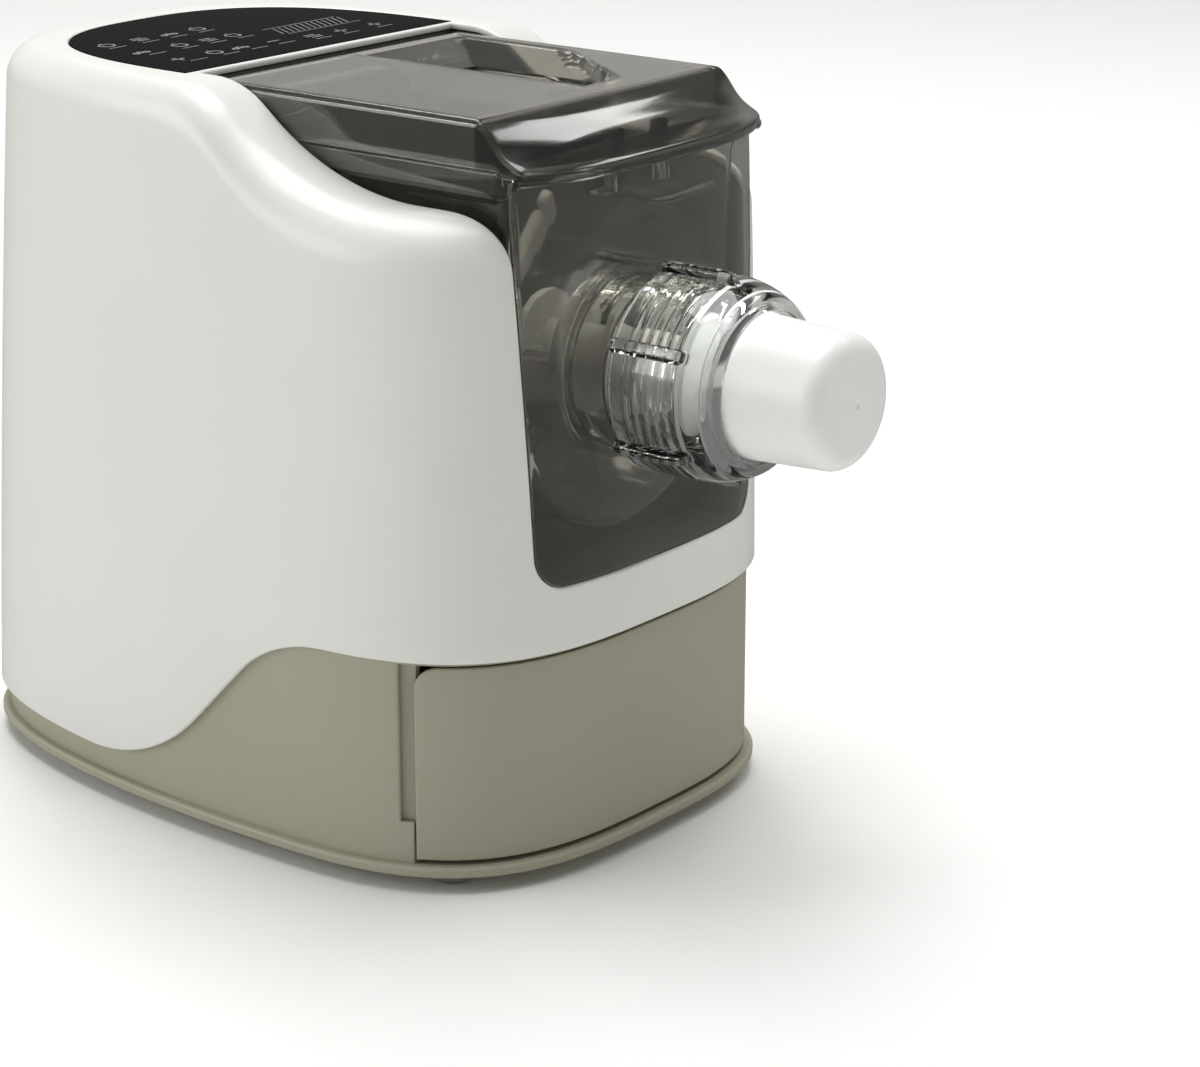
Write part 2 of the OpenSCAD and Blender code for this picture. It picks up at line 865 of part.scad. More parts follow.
// Frame that lines the bay under the white housing and carries the lid's hinge pins
module bay_frame() {
    back = bay_back + rib_t;
    ys = [for (i = [0 : frame_steps]) -frame_front + (back + frame_front) * i / frame_steps];
    color("dimgray")
    centred()
    difference() {
        union() {
            both_x()
                along_x(frame_x, frame_x + rib_t)
                    polygon(concat([for (y = ys) [y, top_z(y) - wall - seam]],
                        [[back, frame_foot], [bay_back - frame_post, frame_foot],
                            [-frame_front, shoulder_z - frame_drop]]));
            block(-frame_x - rib_t, frame_x + rib_t, bay_back + side_gap, back, frame_foot,
                deck_z - wall - seam);
            both_x()
                rod_x(hinge_pin_r + hinge_boss, frame_x, frame_x + rib_t + hinge_boss_len,
                    hinge_y, hinge_z);
        }
        both_x()
            rod_x(hinge_pin_r + touch, frame_x - past, frame_x + rib_t + hinge_boss_len - pin_cap,
                hinge_y, hinge_z);
        rod_y(switch_pin_r + run_gap, bay_back - past, back + past, switch_x, switch_z);
    }
}

module hinge_pins() {
    end = frame_x + rib_t + hinge_boss_len - pin_cap - touch;
    color("silver")
    centred()
    both_x()
        rod_x(hinge_pin_r, end - hinge_pin_len, end, hinge_y, hinge_z);
}

// ---------------------------------------------------------------- mixing tub and window

rim_overrun = 1;

module tub_section(grow) {
    polygon(concat(
        [[-tub_top_half + grow, tub_rim_z + rim_overrun], [-tub_r + grow, axis_z]],
        arc(0, axis_z, tub_r - grow, 180, 360, 48),
        [[tub_r - grow, axis_z], [tub_top_half - grow, tub_rim_z + rim_overrun]]));
}

bush_wall = 4;
bush_r = shaft_r + bush_wall;

module mixing_tub() {
    ledge_z = tub_rim_z - tub_rim_h;
    color([0.35, 0.35, 0.34, 0.6])
    centred()
    difference() {
        union() {
            intersection() {
                along_y(-tub_front, tub_back)
                    tub_section(0);
                block(-half_w, half_w, -tub_front, tub_back, 0, tub_rim_z);
            }
            block(-tub_rim_half, tub_rim_half, -tub_rim_front, tub_back, ledge_z, tub_rim_z);
        }
        along_y(-tub_front + tub_wall, tub_back - tub_wall)
            tub_section(tub_wall);
        block(-tub_rim_half + tub_wall, tub_rim_half - tub_wall, -tub_rim_front + tub_wall,
            tub_back - tub_wall, ledge_z + tub_wall, tub_rim_z + past);
        rod_y(barrel_neck_r + run_gap, -tub_front - past, -tub_front + past);
        rod_y(bush_r + run_gap, tub_back - past, tub_back + past);
    }
}

// Smoked window: a sheet that follows the housing's front and is trimmed to the bay
window_cols = 24;
window_rows = 8;
window_gap = 2.5;
window_top = lid_skirt_z - window_gap;
window_foot = 2;

module front_window() {
    x_max = bay_half;
    z_min = bay_z - window_foot;
    cols = window_cols + 1;
    points = [for (side = [0, 1], r = [0 : window_rows], c = [0 : window_cols])
        let (x = -x_max + 2 * x_max * c / window_cols,
            z = z_min + (window_top - z_min) * r / window_rows)
        [x, -front_face(x, z, gap + side * window_t), z]];
    color([0.3, 0.3, 0.3, 0.6])
    centred()
    difference() {
        intersection() {
            polyhedron(points, sheet_faces(cols, window_rows + 1), convexity = 4);
            along_y(-front_reach, 0)
                polygon(bay_profile(seam));
        }
        rod_y(barrel_r + body_gap, -front_reach - past, 0);
    }
}

// Faces of a closed sheet: two grids of rows and columns with their four edges joined
function sheet_faces(cols, rows) =
    let (count = cols * rows)
    concat(
        [for (r = [0 : rows - 2], c = [0 : cols - 2])
            let (a = r * cols + c, b = a + 1, d = a + cols, e = d + 1)
            each [[a, e, b], [a, d, e]]],
        [for (r = [0 : rows - 2], c = [0 : cols - 2])
            let (a = count + r * cols + c, b = a + 1, d = a + cols, e = d + 1)
            each [[a, b, e], [a, e, d]]],
        [for (c = [0 : cols - 2])
            let (a = c, b = c + 1)
            each [[a, b, count + b], [a, count + b, count + a]]],
        [for (c = [0 : cols - 2])
            let (a = (rows - 1) * cols + c, b = a + 1)
            each [[a, count + b, b], [a, count + a, count + b]]],
        [for (r = [0 : rows - 2])
            let (a = r * cols, b = a + cols)
            each [[a, count + b, b], [a, count + a, count + b]]],
        [for (r = [0 : rows - 2])
            let (a = r * cols + cols - 1, b = a + cols)
            each [[a, b, count + b], [a, count + b, count + a]]]);

// ---------------------------------------------------------------- nozzle

module barrel() {
    flange_y = -tub_front + tub_wall + touch;
    color([0.35, 0.35, 0.34, 0.6])
    centred()
    difference() {
        union() {
            rod_y(barrel_r, -barrel_front, -barrel_front + nut_travel);
            rod_y(barrel_neck_r, -barrel_front + touch, -throat_back);
            rod_y(barrel_r + barrel_flange, flange_y, flange_y + barrel_flange_t);
        }
        rod_y(barrel_bore, -barrel_front - past, -throat_back + past);
        block(-barrel_r - past, barrel_r + past, -tub_front + throat_wall, -throat_back + past,
            axis_z + throat_rise, axis_z + barrel_r + past);
    }
}

module die_seal() {
    color("white")
    centred()
    tube_y(die_flange_r - body_gap, barrel_bore + body_gap, -barrel_front - seal_t,
        -barrel_front);
}

die_wall = 3.6;
die_round = 7;
die_dome = 1;
die_land = 4;
outlet_n = 4;
outlet_rows = 3;
outlet_pitch = 6.6;
outlet_row_pitch = 8;
outlet_flat = 2.2;

module die_cap() {
    bore_end = die_tip - die_wall;
    outlet_y = -(nut_front + die_out / 2);
    outlet_reach = outlet_n * outlet_pitch / 2 + die_dome;
    outlet_half = (outlet_rows + 1) * outlet_row_pitch / 2 - die_dome;
    color("whitesmoke")
    centred()
    difference() {
        turned(concat([[0, die_seat - die_flange_t], [die_flange_r, die_seat - die_flange_t],
                [die_flange_r, die_seat], [die_r, die_seat]],
            arc(die_tip_r - die_round, die_tip - die_round - die_dome, die_round, 0, 90, 8),
            [[0, die_tip]]));
        turned([[0, die_seat - die_flange_t - past],
            [die_r - die_wall, die_seat - die_flange_t - past], [die_r - die_wall, die_seat],
            [die_tip_r - die_wall, bore_end - die_land],
            [die_tip_r - die_wall - die_land, bore_end], [0, bore_end]]);
        block(-outlet_half, outlet_half, outlet_y - outlet_reach, outlet_y + outlet_reach,
            axis_z - die_r - past, axis_z - die_r + outlet_flat);
        for (i = [0 : outlet_n - 1], j = [0 : outlet_rows - 1])
            translate([(j - (outlet_rows - 1) / 2) * outlet_row_pitch,
                outlet_y + (i - (outlet_n - 1) / 2) * outlet_pitch, axis_z - die_r - past])
                block(-slot_w / 2, slot_w / 2, -slot_len / 2, slot_len / 2, 0,
                    die_wall + 2 * past);
    }
}

nut_round = 36.4;
nut_shoulder = 20.7;
nut_rim = 1.6;
grip_w = 4;
grip_start = 12;
rib_root = 1;

module fixing_nut() {
    color([0.9, 0.9, 0.9, 0.5])
    centred()
    difference() {
        union() {
            turned(concat([[0, nut_rear], [nut_r, nut_rear], [nut_r, nut_front - nut_shoulder]],
                arc(nut_r - nut_round, nut_front - nut_shoulder, nut_round, 0, 30, 10),
                [[nut_mouth + 2 * nut_rim, nut_front - nut_rim],
                    [nut_mouth + nut_rim, nut_front], [0, nut_front]]));
            for (i = [0 : rib_n - 1])
                translate([0, 0, axis_z])
                    rotate([0, -rib_turn - 360 * i / rib_n, 0])
                        block(nut_r - rib_root, nut_r + rib_h, -nut_front + grip_start, -nut_rear,
                            -grip_w / 2, grip_w / 2);
        }
        turned([[0, nut_rear - past], [nut_bore, nut_rear - past], [nut_bore, die_seat + gap],
            [nut_mouth, die_seat + gap], [nut_mouth, nut_front + past], [0, nut_front + past]]);
    }
}

// ---------------------------------------------------------------- screw and paddle

flight_steps = 72;

// Helical flight swept along -Y: a square section turned and advanced step by step
module flight(y0, y1, turns, r) {
    points = [for (i = [0 : flight_steps])
        let (t = 360 * turns * i / flight_steps, y = y0 + (y1 - y0) * i / flight_steps)
        each [for (c = [[core_r / 2, -flight_t / 2], [r, -flight_t / 3],
                [r, flight_t / 3], [core_r / 2, flight_t / 2]])
            [c[0] * cos(t), y + c[1], axis_z + c[0] * sin(t)]]];
    last = flight_steps * 4;
    polyhedron(points, concat(
        [[0, 2, 3], [0, 1, 2], [last, last + 2, last + 1], [last, last + 3, last + 2]],
        [for (i = [0 : flight_steps - 1], j = [0 : 3])
            let (a = 4 * i + j, b = 4 * i + (j + 1) % 4, c = a + 4, d = b + 4)
            each [[a, d, b], [a, c, d]]]), convexity = 8);
}

screw_nose = 6;
screw_socket = 30;

module screw() {
    len = screw_front - screw_back;
    color("whitesmoke")
    centred()
    difference() {
        union() {
            rod_y(core_r, -screw_front + screw_nose, -screw_back);
            turned([[0, screw_front - screw_nose - touch],
                [core_r, screw_front - screw_nose - touch], [core_r / 2, screw_front],
                [0, screw_front]]);
            flight(-screw_back - flight_t, -screw_front + screw_nose + flight_t,
                len / flight_pitch, flight_r);
        }
        rod_y(shaft_r + touch, -screw_back - screw_socket, -screw_back + past);
    }
}

blade_t = 4;
blade_len = 26;
blade_h = 8;
blade_turn = 28;
arm_w = 10;
arm_turn = 18;
arm_inset = 8;

// Arm that stands on the hub and carries a slanted blade at its tip
module paddle_arm() {
    rotate([0, 0, arm_turn])
        translate([-arm_w / 2, -blade_t / 2, 0])
            cube([arm_w, blade_t, arm_r - blade_h + touch]);
    translate([0, 0, arm_r - blade_h])
        rotate([0, 0, blade_turn])
            translate([-blade_len / 2, -blade_t / 2, 0])
                cube([blade_len, blade_t, tip_h]);
}

tip_h = sqrt(pow(arm_r, 2) - pow(blade_len / 2, 2)) - arm_r + blade_h;

module paddle() {
    span = paddle_back + paddle_front - 2 * arm_inset;
    color("whitesmoke")
    centred()
    difference() {
        union() {
            rod_y(hub_r, -paddle_front, paddle_back);
            for (i = [0 : arm_n - 1])
                translate([0, -paddle_front + arm_inset + span * i / (arm_n - 1), axis_z])
                    rotate([0, arm_start + 90 * i, 0])
                        paddle_arm();
        }
        rod_y(shaft_r + touch, -paddle_front - past, paddle_back + past);
    }
}

collar_t = 1.7;
collar_h = 2;

module drive_shaft() {
    color("silver")
    centred()
    union() {
        rod_y(shaft_r, -screw_back - screw_socket + collar_h, case_back - collar_h);
        rod_y(shaft_r + collar_h, paddle_back + gap, paddle_back + gap + collar_t);
    }
}

// ---------------------------------------------------------------- drive

module shaft_bush() {
    color("goldenrod")
    centred()
    tube_y(bush_r, shaft_r + run_gap, tub_back - tub_wall + touch, case_front + case_wall);
}

seal_lip = 2.3;

module shaft_seal() {
    color("dimgray")
    centred()
    tube_y(bush_r + barrel_flange, shaft_r + run_gap, tub_back - tub_wall - touch - seal_lip,
        tub_back - tub_wall - touch);
}

// Toothed wheel outline: four points to a tooth, the first tooth centred on +X
function wheel_outline(n, m) =
    let (r = m * n / 2, pitch = 360 / n)
    [for (i = [0 : n - 1])
        each [for (c = [[-tooth_root, -tooth_ded], [-tooth_tip, tooth_add],
                [tooth_tip, tooth_add], [tooth_root, -tooth_ded]])
            let (a = pitch * (i + c[0] / 2), q = r + c[1] * m)
            [q * cos(a), q * sin(a)]]];

module wheel(n, m, x, z, y, face, turn) {
    translate([x, y + face, z])
        rotate([90, 0, 0])
            rotate([0, 0, turn])
                linear_extrude(face)
                    polygon(wheel_outline(n, m));
}

// Directions from each centre to the next, in the XZ plane
to_idler = atan2(idler_z - axis_z, idler_x);
to_motor = atan2(motor_z - idler_z, -idler_x);

// Turn of a wheel whose tooth gap faces the given direction
function gap_at(n, dir) = dir + 180 / n;

gear_hub = 5;
lightening_n = 6;
lightening_r = 9;
lightening_reach = 28;

module output_gear() {
    color("ivory")
    centred()
    difference() {
        union() {
            wheel(output_n, slow_module, 0, axis_z, slow_y, slow_face, to_idler);
            rod_y(shaft_r + gear_hub, slow_y - gear_rise, slow_y + slow_face + gear_rise);
        }
        rod_y(shaft_r + touch, slow_y - past, slow_y + slow_face + past);
        for (i = [0 : lightening_n - 1])
            translate([0, 0, axis_z])
                rotate([0, 360 * (i + 0.5) / lightening_n, 0])
                    rod_y(lightening_r, slow_y - past, slow_y + slow_face + past,
                        lightening_reach, 0);
    }
}

idler_turn = gap_at(idler_small_n, to_idler + 180);
stage_lap = 1;

module idler_gear() {
    color("ivory")
    centred()
    difference() {
        union() {
            wheel(idler_small_n, slow_module, idler_x, idler_z, slow_y, fast_y - slow_y + stage_lap,
                idler_turn);
            wheel(idler_n, fast_module, idler_x, idler_z, fast_y, fast_face, to_motor);
        }
        rod_y(idler_pin_r + run_gap, slow_y - past, fast_y + fast_face + past, idler_x, idler_z);
    }
}

module idler_pin() {
    color("silver")
    centred()
    rod_y(idler_pin_r, case_front + pin_seat, case_back + pin_seat, idler_x, idler_z);
}

module motor_pinion() {
    color("goldenrod")
    centred()
    difference() {
        wheel(pinion_n, fast_module, 0, motor_z, fast_y, fast_face, gap_at(pinion_n, to_motor + 180));
        rod_y(motor_shaft_r + touch, fast_y - past, fast_y + fast_face + past, 0, motor_z);
    }
}

// Outline of a belt round two circles
module belt(c1, r1, c2, r2) {
    hull() {
        translate(c1)
            circle(r1);
        translate(c2)
            circle(r2);
    }
}

case_gap = 2.5;
case_nose_r = 16;

module case_section(grow) {
    slow_r = slow_module * (output_n / 2 + 1) + case_gap + grow;
    fast_r = fast_module * (idler_n / 2 + 1) + case_gap + grow;
    belt([0, axis_z], slow_r, [idler_x, idler_z], fast_r);
    belt([idler_x, idler_z], fast_r, [0, motor_z], case_nose_r + grow);
}

module gearbox_case() {
    color("lightslategray")
    centred()
    difference() {
        along_y(case_front, case_back)
            case_section(case_wall);
        along_y(case_front + case_wall, case_back + past)
            case_section(0);
        rod_y(bush_r + run_gap, case_front - past, case_front + case_wall + past);
        rod_y(idler_pin_r + touch, case_front + pin_seat - touch, case_front + case_wall + past,
            idler_x, idler_z);
    }
}

module gearbox_cover() {
    color("lightslategray")
    centred()
    difference() {
        along_y(case_back + touch, case_back + case_wall)
            case_section(case_wall);
        rod_y(idler_pin_r + touch, case_back - past, case_back + pin_seat + touch, idler_x,
            idler_z);
        rod_y(bearing_r + run_gap, case_back - past, case_back + case_wall + past, 0, motor_z);
    }
}

can_t = 1.5;
rotor_set = 12;
rotor_r = motor_r - rotor_set;
air_gap = 0.6;
stack_inset = 14;
bearing_r = 9;
bearing_t = 6;
tie_n = 6;
tie_r = 2.4;
tie_set = 7.5;
tie_reach = motor_r - tie_set;

module motor_can() {
    end = motor_y + motor_len;
    color("silver")
    centred()
    difference() {
        rod_y(motor_r, motor_y, end, 0, motor_z);
        rod_y(motor_r - can_t, motor_y + can_t, end - can_t, 0, motor_z);
        rod_y(bearing_r + touch, motor_y - past, end + past, 0, motor_z);
    }
}

module motor_stator() {
    color("dimgray")
    centred()
    difference() {
        tube_y(motor_r - can_t - touch, rotor_r + air_gap, motor_y + stack_inset,
            motor_y + motor_len - stack_inset, 0, motor_z);
        for (i = [0 : tie_n - 1])
            translate([0, 0, motor_z])
                rotate([0, 360 * i / tie_n, 0])
                    rod_y(tie_r, motor_y, motor_y + motor_len, tie_reach, 0);
    }
}

module motor_bearings() {
    color("silver")
    centred()
    for (y = [motor_y - gap, motor_y + motor_len - bearing_t])
        tube_y(bearing_r, motor_shaft_r + run_gap, y, y + bearing_t, 0, motor_z);
}

fan_set = 6;
fan_r = motor_r - fan_set;
fan_root = 1;
fan_hub_r = 7;
fan_disc_t = 1.4;
fan_blade_n = 9;
fan_blade_t = 1.6;

module motor_shaft() {
    color("silver")
    centred()
    rod_y(motor_shaft_r, fast_y, fan_y + fan_h, 0, motor_z);
}

module motor_rotor() {
    color("gray")
    centred()
    tube_y(rotor_r, motor_shaft_r + touch, motor_y + stack_inset,
        motor_y + motor_len - stack_inset, 0, motor_z);
}

module motor_fan() {
    color("whitesmoke")
    centred()
    difference() {
        union() {
            rod_y(fan_hub_r, fan_y, fan_y + fan_h, 0, motor_z);
            rod_y(fan_r, fan_y, fan_y + fan_disc_t, 0, motor_z);
            for (i = [0 : fan_blade_n - 1])
                translate([0, 0, motor_z])
                    rotate([0, 360 * i / fan_blade_n, 0])
                        block(fan_hub_r - fan_root, fan_r - fan_root,
                            fan_y + fan_disc_t - touch, fan_y + fan_h - fan_root,
                            -fan_blade_t / 2, fan_blade_t / 2);
        }
        rod_y(motor_shaft_r + touch, fan_y - past, fan_y + fan_h + past, 0, motor_z);
    }
}

cheek_wing = 4;
cheek_set = 6;
cheek_half = motor_r + cheek_wing;
cheek_top_half = motor_r - cheek_set;
cheek_t = 4;
cheek_drop = 8;
cheek_inset = 6;

// Saddle that stands on the base plate and holds the motor from below
module motor_saddle() {
    y0 = motor_y + cheek_inset;
    y1 = motor_y + motor_len - cheek_inset;
    color("gray")
    centred()
    difference() {
        union() {
            for (y = [y0, y1 - cheek_t])
                along_y(y, y + cheek_t)
                    polygon(both_sides([[cheek_half, plate_z + touch],
                        [cheek_top_half, motor_z - cheek_drop]]));
            block(-cheek_half, cheek_half, y0, y1, plate_z + touch, plate_z + plate_t);
        }
        rod_y(motor_r + touch, motor_y - past, motor_y + motor_len + past, 0, motor_z);
        grille(plate_z - past, plate_z + plate_t + past);
    }
}

// ---------------------------------------------------------------- lid

// Skirted cover drawn in X and Z
module lid_section(grow) {
    h = lid_half - grow;
    top = lid_z - grow;
    r = max(wall_min, lid_corner - grow);
    polygon(both_sides(concat([[h, lid_skirt_z - (grow > 0 ? past : 0)]],
        arc(h - r, top - r, r, 0, 90, 6))));
}

visor_cols = 28;
wall_min = 0.8;
cheek_share = 0.9;
catch_drop = 40;
catch_z = lid_z - catch_drop;
catch_set = 13.2;
catch_y0 = front_reach - catch_set;
catch_w = 4;

// Stem with its foot, curved tongue and block of the catch: [X, height above the tongue]
catch_top = 28.9;
catch_shapes = [
    [[-15, catch_top], [-15, 10.6], [-23, 10.6], [-23, 8.6], [-12.5, 8.6], [-12.5, catch_top]],
    [[-9.4, catch_top], [-9.4, 10], [-7.6, 7.6], [-3, 4.6], [6, 1.6], [14, 0], [28, 0],
        [45, 1.6], [45, 3.2], [28, 1.6], [14, 1.6], [6.6, 3.1], [-2, 6.2], [-6, 8.8],
        [-7.6, 11], [-7.6, catch_top]],
    [[11.5, catch_top], [11.5, 9], [17, 9], [17, catch_top]]];

// Section of the visor from the flat top, down the front and round the lip:
// [share of the way to the lip, height below the flat top]
visor_profile = [[0, 0], [0.12, 0.7], [0.25, 2.8], [0.36, 5.4], [0.48, 8.5], [0.62, 11.2],
    [0.8, 13.4], [0.94, 14.9], [1, 16.6], [0.985, 18.6], [0.95, 20.5]];

function visor_point(x, k, inset) =
    let (c = visor_profile[k], prev = visor_profile[max(0, k - 1)],
        next = visor_profile[min(len(visor_profile) - 1, k + 1)],
        reach = front_face(x, lid_skirt_z, 0) + lip_reach - lid_flat_y,
        d = [(next[0] - prev[0]) * reach, prev[1] - next[1]],
        n = [-d[1], d[0]] / norm(d))
    [x, -(lid_flat_y + c[0] * reach) - n[0] * -inset, lid_z - c[1] - n[1] * inset];

module lid_visor() {
    cols = visor_cols + 1;
    rows = len(visor_profile);
    points = [for (side = [0, 1], k = [rows - 1 : -1 : 0], c = [0 : visor_cols])
        visor_point(-lid_half + 2 * lid_half * c / visor_cols, k, side * lid_t)];
    polyhedron(points, sheet_faces(cols, rows), convexity = 6);
}

// Water funnel: three slopes down to a slotted sump
funnel_rim = 10;
funnel_left = 4;
funnel_margin = 6;
funnel_right = lid_half - funnel_margin;
funnel_back = bay_back - funnel_rim;
funnel_front = funnel_rim - lid_flat_y;
funnel_corner = [36, 52];
funnel_slope = [24, 16, 28];
funnel_floor = 1;
funnel_top = [[funnel_left, funnel_back], [funnel_right, funnel_back],
    [funnel_right, funnel_front + funnel_corner[1]],
    [funnel_right - funnel_corner[0], funnel_front], [funnel_left, funnel_front]];
sump_box = [[funnel_left, funnel_right - funnel_slope[0]],
    [funnel_front + funnel_slope[1], funnel_back - funnel_slope[2]]];

module funnel_solid(grow, drop) {
    hull() {
        translate([0, 0, lid_z - lid_t])
            linear_extrude(lid_t + drop)
                polygon([for (p = funnel_top) [p[0] + (p[0] > funnel_left ? grow : -grow),
                    p[1] + (p[1] > 0 ? grow : -grow)]]);
        block(sump_box[0][0] - grow, sump_box[0][1] + grow, sump_box[1][0] - grow,
            sump_box[1][1] + grow, lid_z - funnel_d - grow,
            lid_z - funnel_d - grow + funnel_floor);
    }
}

slot_n = 6;
slot_pitch = 5;
drain_w = 2.4;
drain_inset = 3;

module lid() {
    sump_z = lid_z - sump_d;
    color([0.3, 0.3, 0.29, 0.6])
    centred()
    difference() {
        union() {
            difference() {
                along_y(-lid_flat_y, hinge_y)
                    lid_section(0);
                along_y(-lid_flat_y - past, hinge_y + past)
                    lid_section(lid_t);
            }
            both_x()
                along_x(lid_half - lid_t, lid_half)
                    cheek();
            lid_visor();
            lid_catch();
            funnel_solid(lid_t, 0);
            block(sump_box[0][0] - lid_t, sump_box[0][1] + lid_t, sump_box[1][0] - lid_t,
                sump_box[1][1] + lid_t, sump_z - lid_t, lid_z - lid_t);
            rod_x(hinge_r, -lid_half, lid_half, hinge_y, hinge_z);
            block(switch_x - tab_half, switch_x + tab_half, hinge_y, hinge_y + tab_reach,
                hinge_z - tab_drop, hinge_z);
        }
        funnel_solid(0, past);
        block(sump_box[0][0], sump_box[0][1], sump_box[1][0], sump_box[1][1], sump_z, lid_z);
        for (i = [0 : slot_n - 1])
            let (x = sump_box[0][0] + drain_inset + i * slot_pitch)
            block(x, x + drain_w, sump_box[1][0] + 2 * drain_inset,
                sump_box[1][1] - 2 * drain_inset, sump_z - lid_t - past, sump_z + past);
        both_x()
            rod_x(hinge_pin_r + run_gap, lid_half - hinge_socket, lid_half + past, hinge_y,
                hinge_z);
    }
}

// Side wall of the lid in front of the flat top, closed off by the visor's line
module cheek() {
    reach = front_face(lid_half, lid_skirt_z, 0) + lip_reach - lid_flat_y;
    start = -lid_flat_y + lid_t;
    polygon(concat([[start, lid_skirt_z], [start, lid_z - lid_t / 2]],
        [for (c = visor_profile)
            if (c[1] < lid_z - lid_skirt_z + wall_min)
                [-lid_flat_y - c[0] * reach + gap, lid_z - c[1] - gap]],
        [[-lid_flat_y - cheek_share * reach, window_top + body_gap],
            [-tub_rim_front - 2 * body_gap, window_top + body_gap],
            [-tub_rim_front - body_gap, lid_skirt_z]]));
}

// Catch moulded under the visor: a stem with a short foot and a curved tongue beside it
module lid_catch() {
    along_y(-catch_y0, -catch_y0 + catch_w)
        for (shape = catch_shapes)
            translate([0, catch_z])
                polygon(shape);
}

// ---------------------------------------------------------------- lid switch

switch_x = 46;
switch_drop = 8.6;
switch_z = hinge_z - switch_drop;
switch_pin_r = 1.6;
switch_travel = 2.5;
switch_head = 1.4;
tab_reach = 3.4;
tab_drop = 10;
switch_lap = 2.2;
switch_y = bay_back + rib_t + switch_travel + switch_lap;

module switch_pin() {
    head_y = bay_back + rib_t + switch_travel + gap;
    color("orangered")
    centred()
    union() {
        rod_y(switch_pin_r, hinge_y + tab_reach + gap, switch_y - gap, switch_x, switch_z);
        rod_y(switch_pin_r + switch_head, head_y, switch_y - gap, switch_x, switch_z);
    }
}

switch_half = 5;
switch_body = 5.8;
switch_ear = 3;
switch_ear_t = 2;

module lid_switch() {
    back = switch_y + switch_body;
    color("dimgray")
    centred()
    union() {
        block(switch_x - switch_half, switch_x + switch_half, switch_y, back,
            switch_z - switch_half, switch_z + switch_half);
        block(switch_x - switch_half - switch_ear, switch_x + switch_half + switch_ear,
            back - switch_ear_t, back, switch_z - switch_half, switch_z + switch_half);
    }
}

// ---------------------------------------------------------------- controls

module touch_panel() {
    color("black")
    centred()
    translate([0, 0, deck_z - panel_t])
        linear_extrude(panel_t)
            polygon(panel_outline(0));
}

board_t = 1.6;
board_drop = 10;
board_half = 52;
board_y = [16, 76];
board_inset = 4;
post_r = 3;
chip_half = 16;
chip_y = [24, 44];
chip_h = 6;

module control_board() {
    z = deck_z - wall - board_drop;
    color("darkgreen")
    centred()
    union() {
        block(-board_half, board_half, panel_y + board_y[0], panel_y + board_y[1],
            z - board_t, z);
        block(-chip_half, chip_half, panel_y + chip_y[0], panel_y + chip_y[1], z - touch,
            z + chip_h);
        for (x = [-board_half + board_inset, board_half - board_inset],
                y = [board_y[0] + board_inset, board_y[1] - board_inset])
            translate([x, panel_y + y, z - touch])
                cylinder(r = post_r, h = board_drop);
    }
}

power_x = [-70, -40];
power_y = [60, 120];
power_rise = 6;
capacitor = [-55, 78, 7, 22];
filter_box = [-66, -46, 92, 110, 18];

module power_board() {
    z = plate_z + power_rise;
    color("darkgreen")
    centred()
    union() {
        block(power_x[0], power_x[1], power_y[0], power_y[1], z, z + board_t);
        for (x = [power_x[0] + board_inset, power_x[1] - board_inset],
                y = [power_y[0] + board_inset, power_y[1] - board_inset])
            translate([x, y, plate_z + touch])
                cylinder(r = post_r, h = power_rise);
        translate([capacitor[0], capacitor[1], z])
            cylinder(r = capacitor[2], h = capacitor[3]);
        block(filter_box[0], filter_box[1], filter_box[2], filter_box[3], z,
            z + filter_box[4]);
    }
}

module cord_gland() {
    color("dimgray")
    centred()
    difference() {
        union() {
            rod_y(gland_r + gland_wall, gland_face - gland_len, gland_face, gland_x, gland_z);
            rod_y(gland_r + gland_flange, gland_face - gland_flange_t, gland_face, gland_x,
                gland_z);
            rod_y(gland_r + gland_flange, gland_face - gland_grip - gland_grip_t,
                gland_face - gland_grip, gland_x, gland_z);
        }
        rod_y(gland_r, gland_face - gland_len - past, gland_face + past, gland_x, gland_z);
    }
}

// Outer face of the gland, just proud of the leaning back wall
gland_face = lean_y(rear_reach * sqrt(1 - pow(abs(gland_x) / half_w, 4)), gland_z)
    + gland_proud;

// ---------------------------------------------------------------- assembly

outer_shell();
base_plate();
base_housing();
foot_front_left();
foot_front_right();
foot_rear_left();
foot_rear_right();
tub_cradle();
bay_frame();
hinge_pins();
mixing_tub();
front_window();
barrel();
die_seal();
shaft_seal();
touch_panel();
control_board();
power_board();
cord_gland();
drawer_rails();
gearbox_case();
gearbox_cover();
idler_pin();
shaft_bush();
motor_can();
motor_stator();
motor_bearings();
motor_saddle();
lid_switch();
base_screws();
drawer_front();
drawer_tray();
lid();
switch_pin();
die_cap();
fixing_nut();
screw();
paddle();
drive_shaft();
output_gear();
idler_gear();
motor_pinion();
motor_shaft();
motor_rotor();
motor_fan();
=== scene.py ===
"""Looks of the electric pasta maker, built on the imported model's fixed frame.

The pieces are drawn in millimetres in the plan frame of the housing: y = 0 is the line where the
housing is widest, and to_world() moves a point from there into the row's frame in metres.
"""

import json
import math

import bmesh
import bpy
from bpy.props import FloatProperty, FloatVectorProperty, IntProperty, PointerProperty
from mathutils import Matrix, Vector


